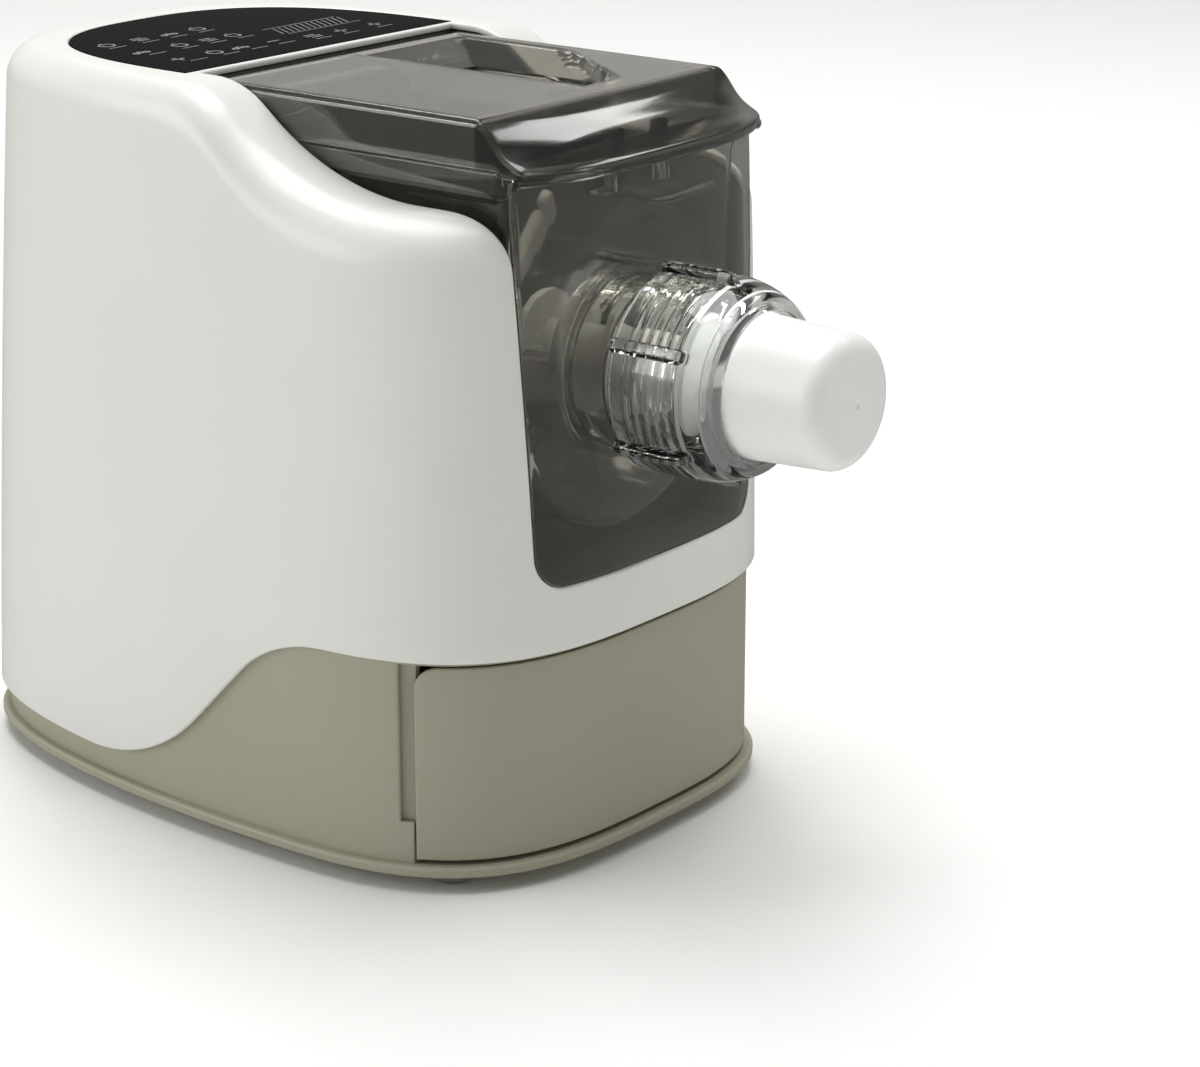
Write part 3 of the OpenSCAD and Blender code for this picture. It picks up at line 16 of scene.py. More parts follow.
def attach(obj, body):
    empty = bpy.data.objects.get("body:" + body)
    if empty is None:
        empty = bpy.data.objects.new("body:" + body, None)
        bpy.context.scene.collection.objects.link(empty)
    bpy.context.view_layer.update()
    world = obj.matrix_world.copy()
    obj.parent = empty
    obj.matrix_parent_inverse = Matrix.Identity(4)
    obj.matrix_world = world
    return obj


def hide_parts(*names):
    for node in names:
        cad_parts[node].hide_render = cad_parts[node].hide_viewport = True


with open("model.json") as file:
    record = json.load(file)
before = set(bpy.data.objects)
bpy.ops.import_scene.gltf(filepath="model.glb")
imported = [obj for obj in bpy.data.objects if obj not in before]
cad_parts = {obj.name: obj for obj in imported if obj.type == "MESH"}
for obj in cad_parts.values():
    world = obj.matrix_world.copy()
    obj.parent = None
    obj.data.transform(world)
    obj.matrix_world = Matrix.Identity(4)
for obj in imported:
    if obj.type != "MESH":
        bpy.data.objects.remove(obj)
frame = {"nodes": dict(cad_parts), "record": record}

bl_info = {
    "name": "Electric pasta maker",
    "version": (1, 0, 0),
    "blender": (4, 5, 0),
    "location": "3D View > Sidebar > Pasta maker",
    "description": "Builds the detailed pieces of an electric pasta maker on its packed frame",
    "category": "Add Mesh",
}

MM = 0.001

# ------------------------------------------------------------------ sizes in millimetres

# The plan frame's origin along the row's y axis
STATION = -1.662

# White housing: widest half, reach to the front and rear, heights, draw of its walls
HALF_W = 105.5
FRONT = 106.0
REAR = 190.0
DECK_Z = 274.0
SHOULDER_Z = 239.7
SKIRT_FRONT_Z = 85.3
SKIRT_REAR_Z = 19.5
SIDE_DRAW = 5.6
FRONT_DRAW = 2.0
REAR_LEAN = 0.077
DECK_ROLL = 13.0
SHOULDER_ROLL = 18.0
FRONT_POWER = 3.1
LEAN_BASE = 20.0
SHELL_WALL = 2.6
GAP = 0.3
SEAM = 0.4
# How finely its skin is divided, and the rear vents
PLAN_STEPS = 336
WALL_ROWS = 18
ROLL_ROWS = 12
DECK_STRIPS = 30
TIP_COLUMNS = 5
VENT_COUNT, VENT_PITCH, VENT_R = 7, 7.0, 1.5
VENT_ENDS, VENT_Z = (13.5, 56.5), 63.5

# Base: flange plate with its grille, wall, feet, screws, drawer and finger grooves
PLATE_LOW = 5.5
PLATE_TOP = 9.5
PLATE_ROUND = 1.3
PLATE_STEPS = 288
PLATE_SPLITS = (-75, -50, -10, 20, 50, 80, 140, 165)
GRILLE_COUNT, GRILLE_PITCH, GRILLE_R = 9, 9.0, 2.0
GRILLE_ENDS = (98, 130)
BASE_STEP = 3.0
BASE_WALL = 2.6
BASE_OVERLAP = 4.0
# Radius so small that welding closes a turned piece on its axis
AXIS_R = 0.002
FOOT_R = 9.5
FOOT_ROLL = 2.4
FOOT_DISH = 0.3
FOOT_HEIGHT = 5.46
FOOT_PLACES = {"front_left": (-76, -70), "front_right": (76, -70), "rear_left": (-70, 134),
               "rear_right": (70, 134)}
SCREW_PLACES = ((-92.5, -25), (92.5, -25), (-84, 92), (84, 92))
SCREW_R = 3.9
SCREW_SEAT = 1.6
DRAWER_EDGE = 67.0
DRAWER_LOW = 11.1
DRAWER_TOP = 82.9
OPENING_TOP = 83.7
DRAWER_CORNER = 8.0
DRAWER_SPARE_TURN = 3
BASE_ROWS = 24
DRAWER_ROWS = 14
DRAWER_COLUMNS = 220
GROOVE_W = 5.0
GROOVE_Z = 25.0
GROOVE_BACK = (-66, -55)
GROOVE_BACK_T = 2.2

# Bay: height of the nozzle's axis, the opening, the window, its sleeve and the tub
AXIS_Z = 177.2
BAY_HALF = 68.8
BAY_FOOT = 63.3
BAY_LOW = 108.0
BAY_BACK = 50.0
BAY_CORNER = 13.0
WINDOW_T = 3.0
WINDOW_TOP = 252.5
SLEEVE_BACK = 69.05
SLEEVE_WALL = 1.5
WINDOW_ROWS, WINDOW_COLUMNS = 72, 96
SLEEVE_ROWS, SLEEVE_COLUMNS = 24, 8
TUB_R = 62.0
TUB_WALL = 2.5
TUB_FRONT = 88.0
TUB_BACK = 44.0
TUB_RIM = 254.5
TUB_CORNER = 5.0
TUB_SIDE = ((68.2, 249), (67.4, 245.8), (65.4, 244.4), (64.6, 242.4), (63.6, 215), (62.4, 190))
TUB_NOSE_HOLE = 31.05
TUB_SHAFT_HOLE = 10.05
TUB_ROWS, TUB_END_COLUMNS, TUB_TURNS = 20, 12, 72

# Lid: skirt, hinge, water funnel with its slotted sump, catch and visor (share of reach, drop)
LID_Z = 271.6
LID_SKIRT = 255.0
LID_HALF = 68.0
LID_FLAT = 76.0
LID_WALL = 2.4
LID_CORNER = 3.0
LIP_REACH = 4.5
SKIRT_LEVELS = (258.6, 262)
LID_ROWS, LID_COLUMNS, CURL_ROWS = 26, 56, 10
HINGE_Y, HINGE_Z = 43.0, 265.1
PIN_HOLE_R = 2.7
SWITCH_FINGER = (42, 50)
FUNNEL = ((4, 40), (62, 40), (62, -14), (26, -66), (4, -66))
FUNNEL_FLOOR = (4, 38, -50, 12)
FUNNEL_DEPTH = 6.0
SUMP_DEPTH = 11.0
SUMP_INSET = 0.08
# Run of the walls that stand almost upright
STEEP = 0.05
SUMP_SLOTS, SUMP_PITCH, SUMP_SLOT_R = 6, 5.0, 1.2
SUMP_FIRST, SUMP_ENDS = 8.2, (-42.8, 4.8)
CATCH_Z = 231.6
CATCH_Y = -92.8
CATCH_W = 4.0
CATCH_SHAPES = (
    ((-15, 28.9), (-15, 10.6), (-23, 10.6), (-23, 8.6), (-12.5, 8.6), (-12.5, 28.9)),
    ((-9.4, 28.9), (-9.4, 10), (-7.6, 7.6), (-3, 4.6), (6, 1.6), (14, 0), (28, 0), (45, 1.6),
     (45, 3.2), (28, 1.6), (14, 1.6), (6.6, 3.1), (-2, 6.2), (-6, 8.8), (-7.6, 11),
     (-7.6, 28.9)),
    ((11.5, 28.9), (11.5, 9), (17, 9), (17, 28.9)))
VISOR = ((0, 0), (0.12, 0.7), (0.25, 2.8), (0.36, 5.4), (0.48, 8.5), (0.62, 11.2), (0.8, 13.4),
         (0.94, 14.9), (1, 16.6), (0.985, 18.6), (0.95, 20.5))

# Nozzle: barrel with its open throat, nut with its ribs and thread, die cap with its outlet
BARREL_R = 31.2
BARREL_BORE = 21.0
BARREL_FRONT = 133.676
BARREL_FLANGE_R = 35.2
BARREL_FLANGE_T = 2.8
THROAT_BACK = 46.0
THROAT_START = 76.0
THROAT_RISE = 4.0
NUT_REAR = 107.676
NUT_FRONT = 149.676
NUT_R = 36.5
NUT_ROUND = 36.4
NUT_SHOULDER = 20.7
NUT_BORE = 31.25
NUT_MOUTH = 26.4
THREAD_LENGTH = 25.0
THREAD_BACK = -135.6
NUT_LIP = ((30.6, -148.0), (29.8, -148.3), (28.6, -149.4), (27.9, -NUT_FRONT),
           (27.1, -NUT_FRONT))
NUT_ENTRY = -109.4
NUT_STEPS = 432
RIB_TURN = 35.0
RIB_GAP = 60
RIB_RISE = 3.0
RIB_FRONT = 11
DIE_SEAT = 143.176
DIE_TIP = 186.676
DIE_R = 25.6
DIE_TIP_R = 24.0
DIE_DOME = 7.0
DIE_DOME_START = 8.0
DIE_WALL = 3.6
DIE_FLANGE_R = 30.5
DIE_FLANGE_T = 7.7
DIE_BORE = 22.0
OUTLET_FLAT = 2.2
OUTLET_MIDDLE = 18.5
OUTLET_REACH = 14.2
STRAND_ROWS, STRAND_COLUMNS = 4, 3
STRAND_SPACING = (8, 6.6)
STRAND_HALF, STRAND_R = 1.8, 0.8
STRAND_DEPTH = 2.2
DIE_STEPS = 180

# Paddle: hub, arms and blades
HUB_R = 10.0
HUB_BORE = 6.05
ARMS = 4
ARM_HALF = 5
PADDLE_FRONT = 36.0
PADDLE_BACK = 35.5
ARM_R = 56.5
ARM_START = 35.0
ARM_TURN = 18.0
BLADE_TURN = 28.0
BLADE_LEN = 26.0
BLADE_H = 8.0
BLADE_T = 4.0

# Touch panel and cord gland
PANEL_Y = 53.0
PANEL_HALF = 72.5
PANEL_DEPTH = 98.0
PANEL_POWER = 2.7
PANEL_T = 1.5
GLAND_X, GLAND_Z = -30.0, 40.0
GLAND_FACE = 189.343
GLAND_HOLE_R = 9.3
# Radius and depth behind the face, once round the section
GLAND_SECTION = (
    (3.5, 14), (6.5, 14), (6.5, 11), (8.6, 11), (9.0, 10.6), (9.0, 8.6), (8.6, 8.2), (6.5, 8.2),
    (6.5, 2.2), (8.4, 2.2), (9.0, 1.6), (9.0, 0.7), (8.3, 0), (6.9, 0), (6.5, 0.3), (6.1, 0),
    (4.1, 0), (3.5, 0.6), (3.5, 14))
KEY_ROWS = (116.4, 95.8, 74.8)
START_ROW = 71
SYMBOL_DROP = 0.03

# Studio: shades of the air from below to above, lamps (place and size in metres) and camera
AIR = ((0.0, "787877"), (0.05, "B0AFAC"), (0.36, "C4C2BC"), (0.47, "505050"),
       (0.76, "505050"), (1.0, "FFFFFF"))
LAMPS = {"key": ((-1.6, 1.3, 0.9), (1.7, 1.1)), "top": ((0.3, 0.4, 2.6), (1.8, 1.8)),
         "visor": ((1.33, -0.62, 1.65), (1.3, 0.28)), "rear": ((1.4, 1.8, 2.5), (1.0, 1.0)),
         "front": ((0.7, -1.8, 0.9), (1.4, 1.4))}
LAMP_TARGET = (0, 0, 0.2)
FLOOR_HALF = 6
FLOOR_DROP = 0.0002
CAMERA_TURN, CAMERA_RISE = -51.947, 17.788
CAMERA_TARGET = (156.521, 46.0, 46.384)
CAMERA_DISTANCE = 1.43447
CAMERA_LENS, CAMERA_SENSOR = 101.589, 36.0

# Finishes: span of the slow drift of a colour in millimetres, strength of a grain's relief
DRIFT_SPAN = 71.43
RELIEF_STRENGTH = 0.35


def to_world(p):
    """A point of the plan frame in millimetres, in the row's frame in metres."""
    return Vector((p[0] * MM, (p[1] + STATION) * MM, p[2] * MM))


def linear(code):
    """Linear colour of an sRGB hex code."""
    parts = [int(code[i:i + 2], 16) / 255 for i in (0, 2, 4)]
    return [p / 12.92 if p <= 0.04045 else ((p + 0.055) / 1.055) ** 2.4 for p in parts] + [1.0]


# ------------------------------------------------------------------ what a user would change


class PastaMakerSizes(bpy.types.PropertyGroup):
    """Sizes of the fine detail."""

    shell_edge: FloatProperty(
        name="Housing edge", description="Rounding of the white housing's edges",
        default=0.9 * MM, min=0.4 * MM, max=1.2 * MM, unit="LENGTH")
    base_edge: FloatProperty(
        name="Base edge", description="Rounding of the base's and drawer's edges",
        default=0.7 * MM, min=0.3 * MM, max=1.2 * MM, unit="LENGTH")
    smoked_edge: FloatProperty(
        name="Smoked edge", description="Rounding of the lid's, tub's and window's edges",
        default=0.7 * MM, min=0.3 * MM, max=1.1 * MM, unit="LENGTH")
    thread_depth: FloatProperty(
        name="Thread depth", description="Depth of the fixing nut's inner thread",
        default=1.2 * MM, min=0.4 * MM, max=2.0 * MM, unit="LENGTH")
    thread_turns: IntProperty(
        name="Thread turns", description="Number of rings of the fixing nut's thread",
        default=6, min=3, max=12)
    grip_width: FloatProperty(
        name="Grip width", description="Width of the fixing nut's grip ribs",
        default=4.0 * MM, min=3.0 * MM, max=6.0 * MM, unit="LENGTH")
    symbol_line: FloatProperty(
        name="Symbol line", description="Line width of the touch panel's symbols",
        default=0.9 * MM, min=0.4 * MM, max=1.6 * MM, unit="LENGTH")


def colour(name, description, code):
    """A colour property with its default given as an sRGB hex code."""
    return FloatVectorProperty(name=name, description=description, subtype="COLOR", size=4,
                               min=0.0, max=1.0, default=linear(code))


class PastaMakerColours(bpy.types.PropertyGroup):
    """Colours of the finishes."""

    shell: colour("Housing", "Glossy white of the housing", "E9E9E4")
    base: colour("Base", "Greige of the base and the drawer", "AAA794")
    smoke: colour("Smoke", "Tint of the lid", "DAD8D1")
    # Darker copy of the lid's smoke for its visor: painted shade
    deep_smoke: colour("Deep smoke", "Tint of the lid's thick visor", "9A9892")
    pale_smoke: colour("Pale smoke", "Tint of the tub, the window and the barrel", "EBEAE4")
    clear: colour("Clear", "Tint of the fixing nut", "F7F9F8")
    frosted: colour("Frosted", "Milky white of the paddle", "F0F0EB")
    white: colour("White", "White of the die cap and the screw", "F6F6F4")
    film: colour("Panel", "Black of the touch panel", "08080A")
    ink: colour("Symbols", "Grey of the touch panel's symbols", "808283")
    rubber: colour("Rubber", "Grey of the feet and the gland", "7B7A75")
    frame: colour("Inner frame", "Dark grey of the frames round the bay", "42423F")
    seal: colour("Seals", "White of the silicone seals", "DCDCD8")
    board: colour("Boards", "Green lacquer of the circuit boards", "1F4A2A")
    steel: colour("Steel", "Steel of the shafts, pins and screws", "BDBFC1")
    bronze: colour("Bronze", "Bronze of the shaft's bush", "AF8C50")
    wheels: colour("Wheels", "Ivory of the nylon wheels", "E6DFC8")
    gearbox: colour("Gearbox", "Blue-grey of the gearbox", "5F6C78")
    iron: colour("Iron", "Iron of the motor's sheets", "5B5C60")
    signal: colour("Signal", "Orange of the interlock pin", "DC6520")
    floor: colour("Floor", "Pale floor", "F6F6F5")


class PastaMakerLight(bpy.types.PropertyGroup):
    """Power of the studio's lamps."""

    key: FloatProperty(name="Key lamp", description="Power of the large lamp on the left",
                       default=14.0, min=0.0, soft_max=100.0, unit="POWER")
    top: FloatProperty(name="Top lamp", description="Power of the lamp overhead",
                       default=48.0, min=0.0, soft_max=200.0, unit="POWER")
    visor: FloatProperty(name="Visor lamp", description="Power of the long lamp on the right",
                         default=6.5, min=0.0, soft_max=50.0, unit="POWER")
    rear: FloatProperty(name="Rear lamp", description="Power of the lamp above the backdrop",
                        default=15.0, min=0.0, soft_max=100.0, unit="POWER")
    front: FloatProperty(name="Front lamp", description="Power of the weak lamp in front",
                         default=0.5, min=0.0, soft_max=100.0, unit="POWER")
    air: FloatProperty(name="Room light", description="Strength of the light from all round",
                       default=1.0, min=0.0, soft_max=2.0)


# ------------------------------------------------------------------ shape of the housing


def plan_point(turn, inset):
    """Point of the plan outline in the direction turn, in degrees, moved in by the inset."""
    c, s = math.cos(math.radians(turn)), math.sin(math.radians(turn))
    a, b, f = HALF_W - inset, REAR - inset, FRONT - inset
    if s > 0:
        p, q = (c / a) ** 4, (s / b) ** 2
        r = math.sqrt(2 / (q + math.sqrt(q * q + 4 * p)))
    else:
        r = ((abs(c) / a) ** FRONT_POWER + (abs(s) / f) ** FRONT_POWER) ** (-1 / FRONT_POWER)
    return r * c, r * s


def side_x(y, inset):
    """Half width of the plan outline at a station, moved in by the inset."""
    if y > 0:
        return (HALF_W - inset) * (1 - (y / (REAR - inset)) ** 2) ** 0.25
    return (HALF_W - inset) * (1 - (-y / (FRONT - inset)) ** FRONT_POWER) ** (1 / FRONT_POWER)


def lean_share(z):
    """How far the housing has come in at a height."""
    return (max(0.0, z - LEAN_BASE) / (SHOULDER_Z - LEAN_BASE)) ** 2


def lean_y(y, z):
    """Station y of the plan as it stands at a height."""
    if y > 0:
        return y * (1 - REAR_LEAN * max(0.0, z - LEAN_BASE) / REAR)
    return y * (1 - FRONT_DRAW * lean_share(z) / FRONT)


def leaned(p, z):
    """Plan point p as it stands at a height."""
    return p[0] * (1 - SIDE_DRAW * lean_share(z) / HALF_W), lean_y(p[1], z), z


def front_face(x, z, inset):
    """Distance of the leaned front face from the widest station."""
    a = (HALF_W - inset) * (1 - SIDE_DRAW * lean_share(z) / HALF_W)
    bow = (1 - (abs(x) / a) ** FRONT_POWER) ** (1 / FRONT_POWER)
    return -lean_y(-(FRONT - inset) * bow, z)


def swoop(y, start, from_z, to_z, r1, r2, slope):
    """A level line that changes to another level through two arcs joined by a slope."""
    t = math.radians(slope)
    way = 1 if to_z > from_z else -1
    y2, z2 = start + r1 * math.sin(t), from_z + way * r1 * (1 - math.cos(t))
    z3 = to_z - way * r2 * (1 - math.cos(t))
    y3 = y2 + abs(z3 - z2) / math.tan(t)
    y4 = y3 + r2 * math.sin(t)
    if y <= start:
        return from_z
    if y < y2:
        return from_z + way * (r1 - math.sqrt(r1 ** 2 - (y - start) ** 2))
    if y < y3:
        return z2 + way * (y - y2) * math.tan(t)
    if y < y4:
        return to_z - way * (r2 - math.sqrt(r2 ** 2 - (y4 - y) ** 2))
    return to_z


def skirt_z(y):
    """Height of the white housing's lower edge."""
    return swoop(y, -35, SKIRT_FRONT_Z, SKIRT_REAR_Z, 58, 85, 45)


def top_z(y):
    """Height of the white housing's top."""
    return swoop(y, -52, SHOULDER_Z, DECK_Z, 105, 38, 38)


def roll_w(y):
    """Width of the rolled edge, wide beside the bay and narrow round the deck."""
    t = min(1.0, max(0.0, (y + 30) / 90))
    return SHOULDER_ROLL + (DECK_ROLL - SHOULDER_ROLL) * (3 * t * t - 2 * t ** 3)


def arc(cx, cy, r, a0, a1, n):
    """Points of an arc between two turns in degrees."""
    turns = [math.radians(a0 + (a1 - a0) * i / n) for i in range(n + 1)]
    return [(cx + r * math.cos(a), cy + r * math.sin(a)) for a in turns]


def circle(cx, cy, r, n=48):
    """Points of a full circle."""
    return arc(cx, cy, r, 0, 360 * (n - 1) / n, n - 1)


def slot_outline(x, front, back, r, steps):
    """Outline of a slot with round ends that runs from front to back."""
    return arc(x, front, r, 180, 360, steps) + arc(x, back, r, 0, 180, steps)


def bay_outline(grow):
    """Outline of the mixing bay seen from the front, from its right top corner round."""
    tilt = math.degrees(math.atan((BAY_HALF - BAY_FOOT) / (SHOULDER_Z - BAY_LOW - BAY_CORNER)))
    right = [(BAY_HALF - grow, DECK_Z + 30), (BAY_HALF - grow, SHOULDER_Z)]
    right += arc(BAY_FOOT - BAY_CORNER, BAY_LOW + BAY_CORNER, BAY_CORNER - grow, -tilt, -90, 12)
    return right + [(-x, z) for x, z in reversed(right)]


def panel_outline(grow, steps):
    """Outline of the touch panel: a straight front edge and a half superellipse behind it."""
    out = []
    for i in range(steps + 1):
        t = math.pi * i / steps
        c, s = math.cos(t), max(0.0, math.sin(t))
        out.append((math.copysign(abs(c) ** (2 / PANEL_POWER), c) * (PANEL_HALF + grow),
                    PANEL_Y - grow + (PANEL_DEPTH + 2 * grow) * s ** (2 / PANEL_POWER)))
    return out


# ------------------------------------------------------------------ mesh building


def once(items):
    """The items in the order they come, each only once."""
    return list(dict.fromkeys(items))


def grid(bm, rows, wrap=False):
    """Quads between rows of points, joined round where wrap is set."""
    made = [[bm.verts.new(p) for p in row] for row in rows]
    for low, high in zip(made, made[1:]):
        count = len(low)
        for i in range(count if wrap else count - 1):
            j = (i + 1) % count
            bm.faces.new((low[i], low[j], high[j], high[i]))
    return made


def weld(bm, distance=0.01):
    """Join points that coincide and drop faces without area."""
    bmesh.ops.remove_doubles(bm, verts=bm.verts, dist=distance)
    bmesh.ops.dissolve_degenerate(bm, edges=bm.edges, dist=distance / 2)


def face_out(bm, centre):
    """Make the faces of each joined surface agree, and turn them away from the centre."""
    bmesh.ops.recalc_face_normals(bm, faces=bm.faces)
    bm.normal_update()
    centre = Vector(centre)
    left = set(bm.faces)
    while left:
        island, edge = [], [left.pop()]
        while edge:
            face = edge.pop()
            island.append(face)
            for e in face.edges:
                for other in e.link_faces:
                    if other in left:
                        left.remove(other)
                        edge.append(other)
        total = sum(f.calc_area() * f.normal.dot(f.calc_center_median() - centre)
                    for f in island)
        if total < 0:
            bmesh.ops.reverse_faces(bm, faces=island)
    bm.normal_update()


def split(bm, faces, point, normal):
    """Cut faces by a plane without removing anything; returns the faces and what they became."""
    geom = once(g for f in faces for g in (f, *f.edges, *f.verts))
    cut = bmesh.ops.bisect_plane(bm, geom=geom, plane_co=point, plane_no=normal, dist=1e-4)
    return [g for g in cut["geom"] if isinstance(g, bmesh.types.BMFace)]


def cut_convex(bm, planes, where, keep=False):
    """Cut a convex region out of the faces chosen by where, or keep only that region.

    A plane is a point and a normal that points out of the region.
    """
    inside = [f for f in bm.faces if where(f.calc_center_median())]
    others = []
    for point, normal in planes:
        point, normal = Vector(point), Vector(normal)
        parts = split(bm, inside, point, normal)
        inside = [f for f in parts if (f.calc_center_median() - point).dot(normal) < 0]
        others += [f for f in parts if (f.calc_center_median() - point).dot(normal) >= 0]
    bmesh.ops.delete(bm, geom=others if keep else inside, context="FACES")


def outline_planes(points, axes):
    """Planes through the sides of a convex outline drawn on two axes, facing outwards."""
    cx = sum(p[0] for p in points) / len(points)
    cy = sum(p[1] for p in points) / len(points)
    planes = []
    for p, q in zip(points, points[1:] + points[:1]):
        d = (q[0] - p[0], q[1] - p[1])
        length = math.hypot(*d)
        if length < 1e-6:
            continue
        n = [d[1] / length, -d[0] / length]
        if n[0] * (p[0] - cx) + n[1] * (p[1] - cy) < 0:
            n = [-n[0], -n[1]]
        point, normal = [0.0] * 3, [0.0] * 3
        for k, axis in enumerate(axes):
            point[axis], normal[axis] = p[k], n[k]
        planes.append((point, normal))
    return planes


def thicken(bm, wall, edge_r, steps=3):
    """Give an open surface a wall on its inner side and round off its free edges.

    The rounding swells past the free edge by edge_r, so that the surface stops short by it.
    """
    bm.normal_update()
    faces = list(bm.faces)
    rims = [e for e in bm.edges if len(e.link_faces) == 1]
    sides = {}
    for e in rims:
        f = e.link_faces[0]
        along = (e.verts[1].co - e.verts[0].co).normalized()
        side = f.normal.cross(along).normalized()
        middle = (e.verts[0].co + e.verts[1].co) / 2
        if side.dot(middle - f.calc_center_median()) < 0:
            side = -side
        for v in e.verts:
            sides.setdefault(v, []).append(side)
    away = {}
    for v, found in sides.items():
        total = sum(found, Vector())
        if len(found) == 2:
            total = total / max(0.5, 1 + found[0].dot(found[1]))
        away[v] = total
    normals = {v: v.normal.copy() for v in bm.verts}
    inner = {v: bm.verts.new(v.co - n * wall) for v, n in normals.items()}
    rings = {}
    for v, side in away.items():
        n = normals[v]
        turns = [math.radians(90 * s / steps) for s in range(1, steps + 1)]
        ring = [v]
        ring += [bm.verts.new(v.co + side * edge_r * math.sin(a)
                              - n * edge_r * (1 - math.cos(a))) for a in turns]
        ring += [bm.verts.new(v.co + side * edge_r * math.sin(a)
                              - n * (wall - edge_r * (1 - math.cos(a))))
                 for a in reversed(turns)]
        rings[v] = ring + [inner[v]]
    for f in faces:
        bm.faces.new([inner[v] for v in reversed(f.verts)])
    for e in rims:
        loop = next(l for l in e.link_loops if l.edge == e)
        a, b = loop.vert, loop.link_loop_next.vert
        for k in range(len(rings[a]) - 1):
            bm.faces.new((rings[b][k], rings[a][k], rings[a][k + 1], rings[b][k + 1]))
    bm.normal_update()


def lathe(bm, profile, centre, steps=96, axis="y", shape=None):
    """Turn a profile of (radius, station) round an axis; shape may change each radius."""
    rows = []
    for r, s in profile:
        row = []
        for i in range(steps):
            a = 2 * math.pi * i / steps
            q = shape(r, s, a) if shape else r
            u, w = centre[0] + q * math.cos(a), centre[1] + q * math.sin(a)
            row.append({"x": (s, u, w), "y": (u, s, w), "z": (u, w, s)}[axis])
        rows.append(row)
    return grid(bm, rows, wrap=True)


def prism(bm, outline, axes, span, bevel=0.0, segments=2):
    """A straight solid between two stations of an outline drawn on two axes."""
    along = ({0, 1, 2} - set(axes)).pop()
    ends = []
    for s in span:
        ring = []
        for p in outline:
            at = [0.0] * 3
            at[along] = s
            for k, axis in enumerate(axes):
                at[axis] = p[k]
            ring.append(bm.verts.new(at))
        ends.append(ring)
    count = len(outline)
    faces = [bm.faces.new(ends[0]), bm.faces.new(list(reversed(ends[1])))]
    faces += [bm.faces.new((ends[0][i], ends[1][i], ends[1][(i + 1) % count],
                            ends[0][(i + 1) % count])) for i in range(count)]
    bmesh.ops.recalc_face_normals(bm, faces=faces)
    if bevel:
        edges = once(e for f in faces for e in f.edges
                     if e.calc_face_angle(0) > math.radians(40))
        made = bmesh.ops.bevel(bm, geom=edges, offset=bevel, segments=segments, profile=0.5,
                               affect="EDGES", clamp_overlap=True)
        corners = [v for ring in ends for v in ring if v.is_valid]
        return once([v for f in made["faces"] for v in f.verts] + corners)
    return [v for ring in ends for v in ring]


def box_outline(x0, x1, y0, y1):
    """Corners of a rectangle."""
    return [(x0, y0), (x1, y0), (x1, y1), (x0, y1)]


def make_piece(name, bm, material, body, replaces=(), crease=38):
    """Turn the mesh into a named piece that rides on a body of the frame."""
    weld(bm)
    bm.normal_update()
    for f in bm.faces:
        f.smooth = True
    for e in bm.edges:
        if len(e.link_faces) == 2 and e.calc_face_angle(0) > math.radians(crease):
            e.smooth = False
    for v in bm.verts:
        v.co = to_world(v.co)
    mesh = bpy.data.meshes.new(name)
    bm.to_mesh(mesh)
    bm.free()
    mesh.materials.append(material)
    piece = bpy.data.objects.new(name, mesh)
    bpy.context.scene.collection.objects.link(piece)
    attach(piece, body)
    if replaces:
        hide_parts(*replaces)
    # Window, tub, barrel and nut let the lamps reach what stands behind them
    piece.visible_shadow = material.name not in ("pale_smoked_polycarbonate",
                                                 "clear_polycarbonate")
    return piece


# ------------------------------------------------------------------ materials


def add_node(tree, kind, links=(), **values):
    """Add a node, set its inputs and properties by name, and link outputs to its inputs."""
    node = tree.nodes.new(kind)
    for key, value in values.items():
        name = key.replace("_", " ")
        if name in node.inputs:
            node.inputs[name].default_value = value
        else:
            setattr(node, key, value)
    for name, output in links:
        tree.links.new(output, node.inputs[name])
    return node


def set_ramp(ramp, stops):
    """Give a colour ramp its stops of (position, colour)."""
    elements = ramp.color_ramp.elements
    while len(elements) < len(stops):
        elements.new(0.5)
    for element, (position, shade) in zip(elements, stops):
        element.position, element.color = position, shade


def shaded(tone, share):
    """A colour made lighter or darker by a share."""
    return [min(1.0, c * share) for c in tone[:3]] + [1.0]


def moulded(name, tone, drift, rough, spread, grain, height, stretch=(1, 1, 1), **shader):
    """A moulded or worked surface.

    drift is how far its colour wanders over a few centimetres, spread how far its roughness
    does from grain to grain, grain the size of the grain in millimetres and height its relief.
    """
    material = bpy.data.materials.new(name)
    material.use_nodes = True
    tree = material.node_tree
    tree.nodes.clear()
    place = add_node(tree, "ShaderNodeTexCoord").outputs["Object"]
    run = add_node(tree, "ShaderNodeMapping", [("Vector", place)], Scale=stretch)
    cloud = add_node(tree, "ShaderNodeTexNoise", [("Vector", place)],
                     Scale=1 / (DRIFT_SPAN * MM), Detail=3.0)
    fine = add_node(tree, "ShaderNodeTexNoise", [("Vector", run.outputs["Vector"])],
                    Scale=1 / (grain * MM), Detail=2.0)
    ramp = add_node(tree, "ShaderNodeValToRGB", [("Fac", cloud.outputs["Fac"])])
    set_ramp(ramp, [(0.3, shaded(tone, 1 - drift)), (0.7, shaded(tone, 1 + drift))])
    gloss = add_node(tree, "ShaderNodeMapRange", [("Value", fine.outputs["Fac"])],
                     To_Min=max(0.0, rough - spread), To_Max=rough + spread)
    relief = add_node(tree, "ShaderNodeBump", [("Height", fine.outputs["Fac"])],
                      Strength=RELIEF_STRENGTH, Distance=height * MM)
    surface = add_node(tree, "ShaderNodeBsdfPrincipled",
                       [("Base Color", ramp.outputs["Color"]),
                        ("Roughness", gloss.outputs["Result"]),
                        ("Normal", relief.outputs["Normal"])], **shader)
    add_node(tree, "ShaderNodeOutputMaterial", [("Surface", surface.outputs["BSDF"])])
    return material


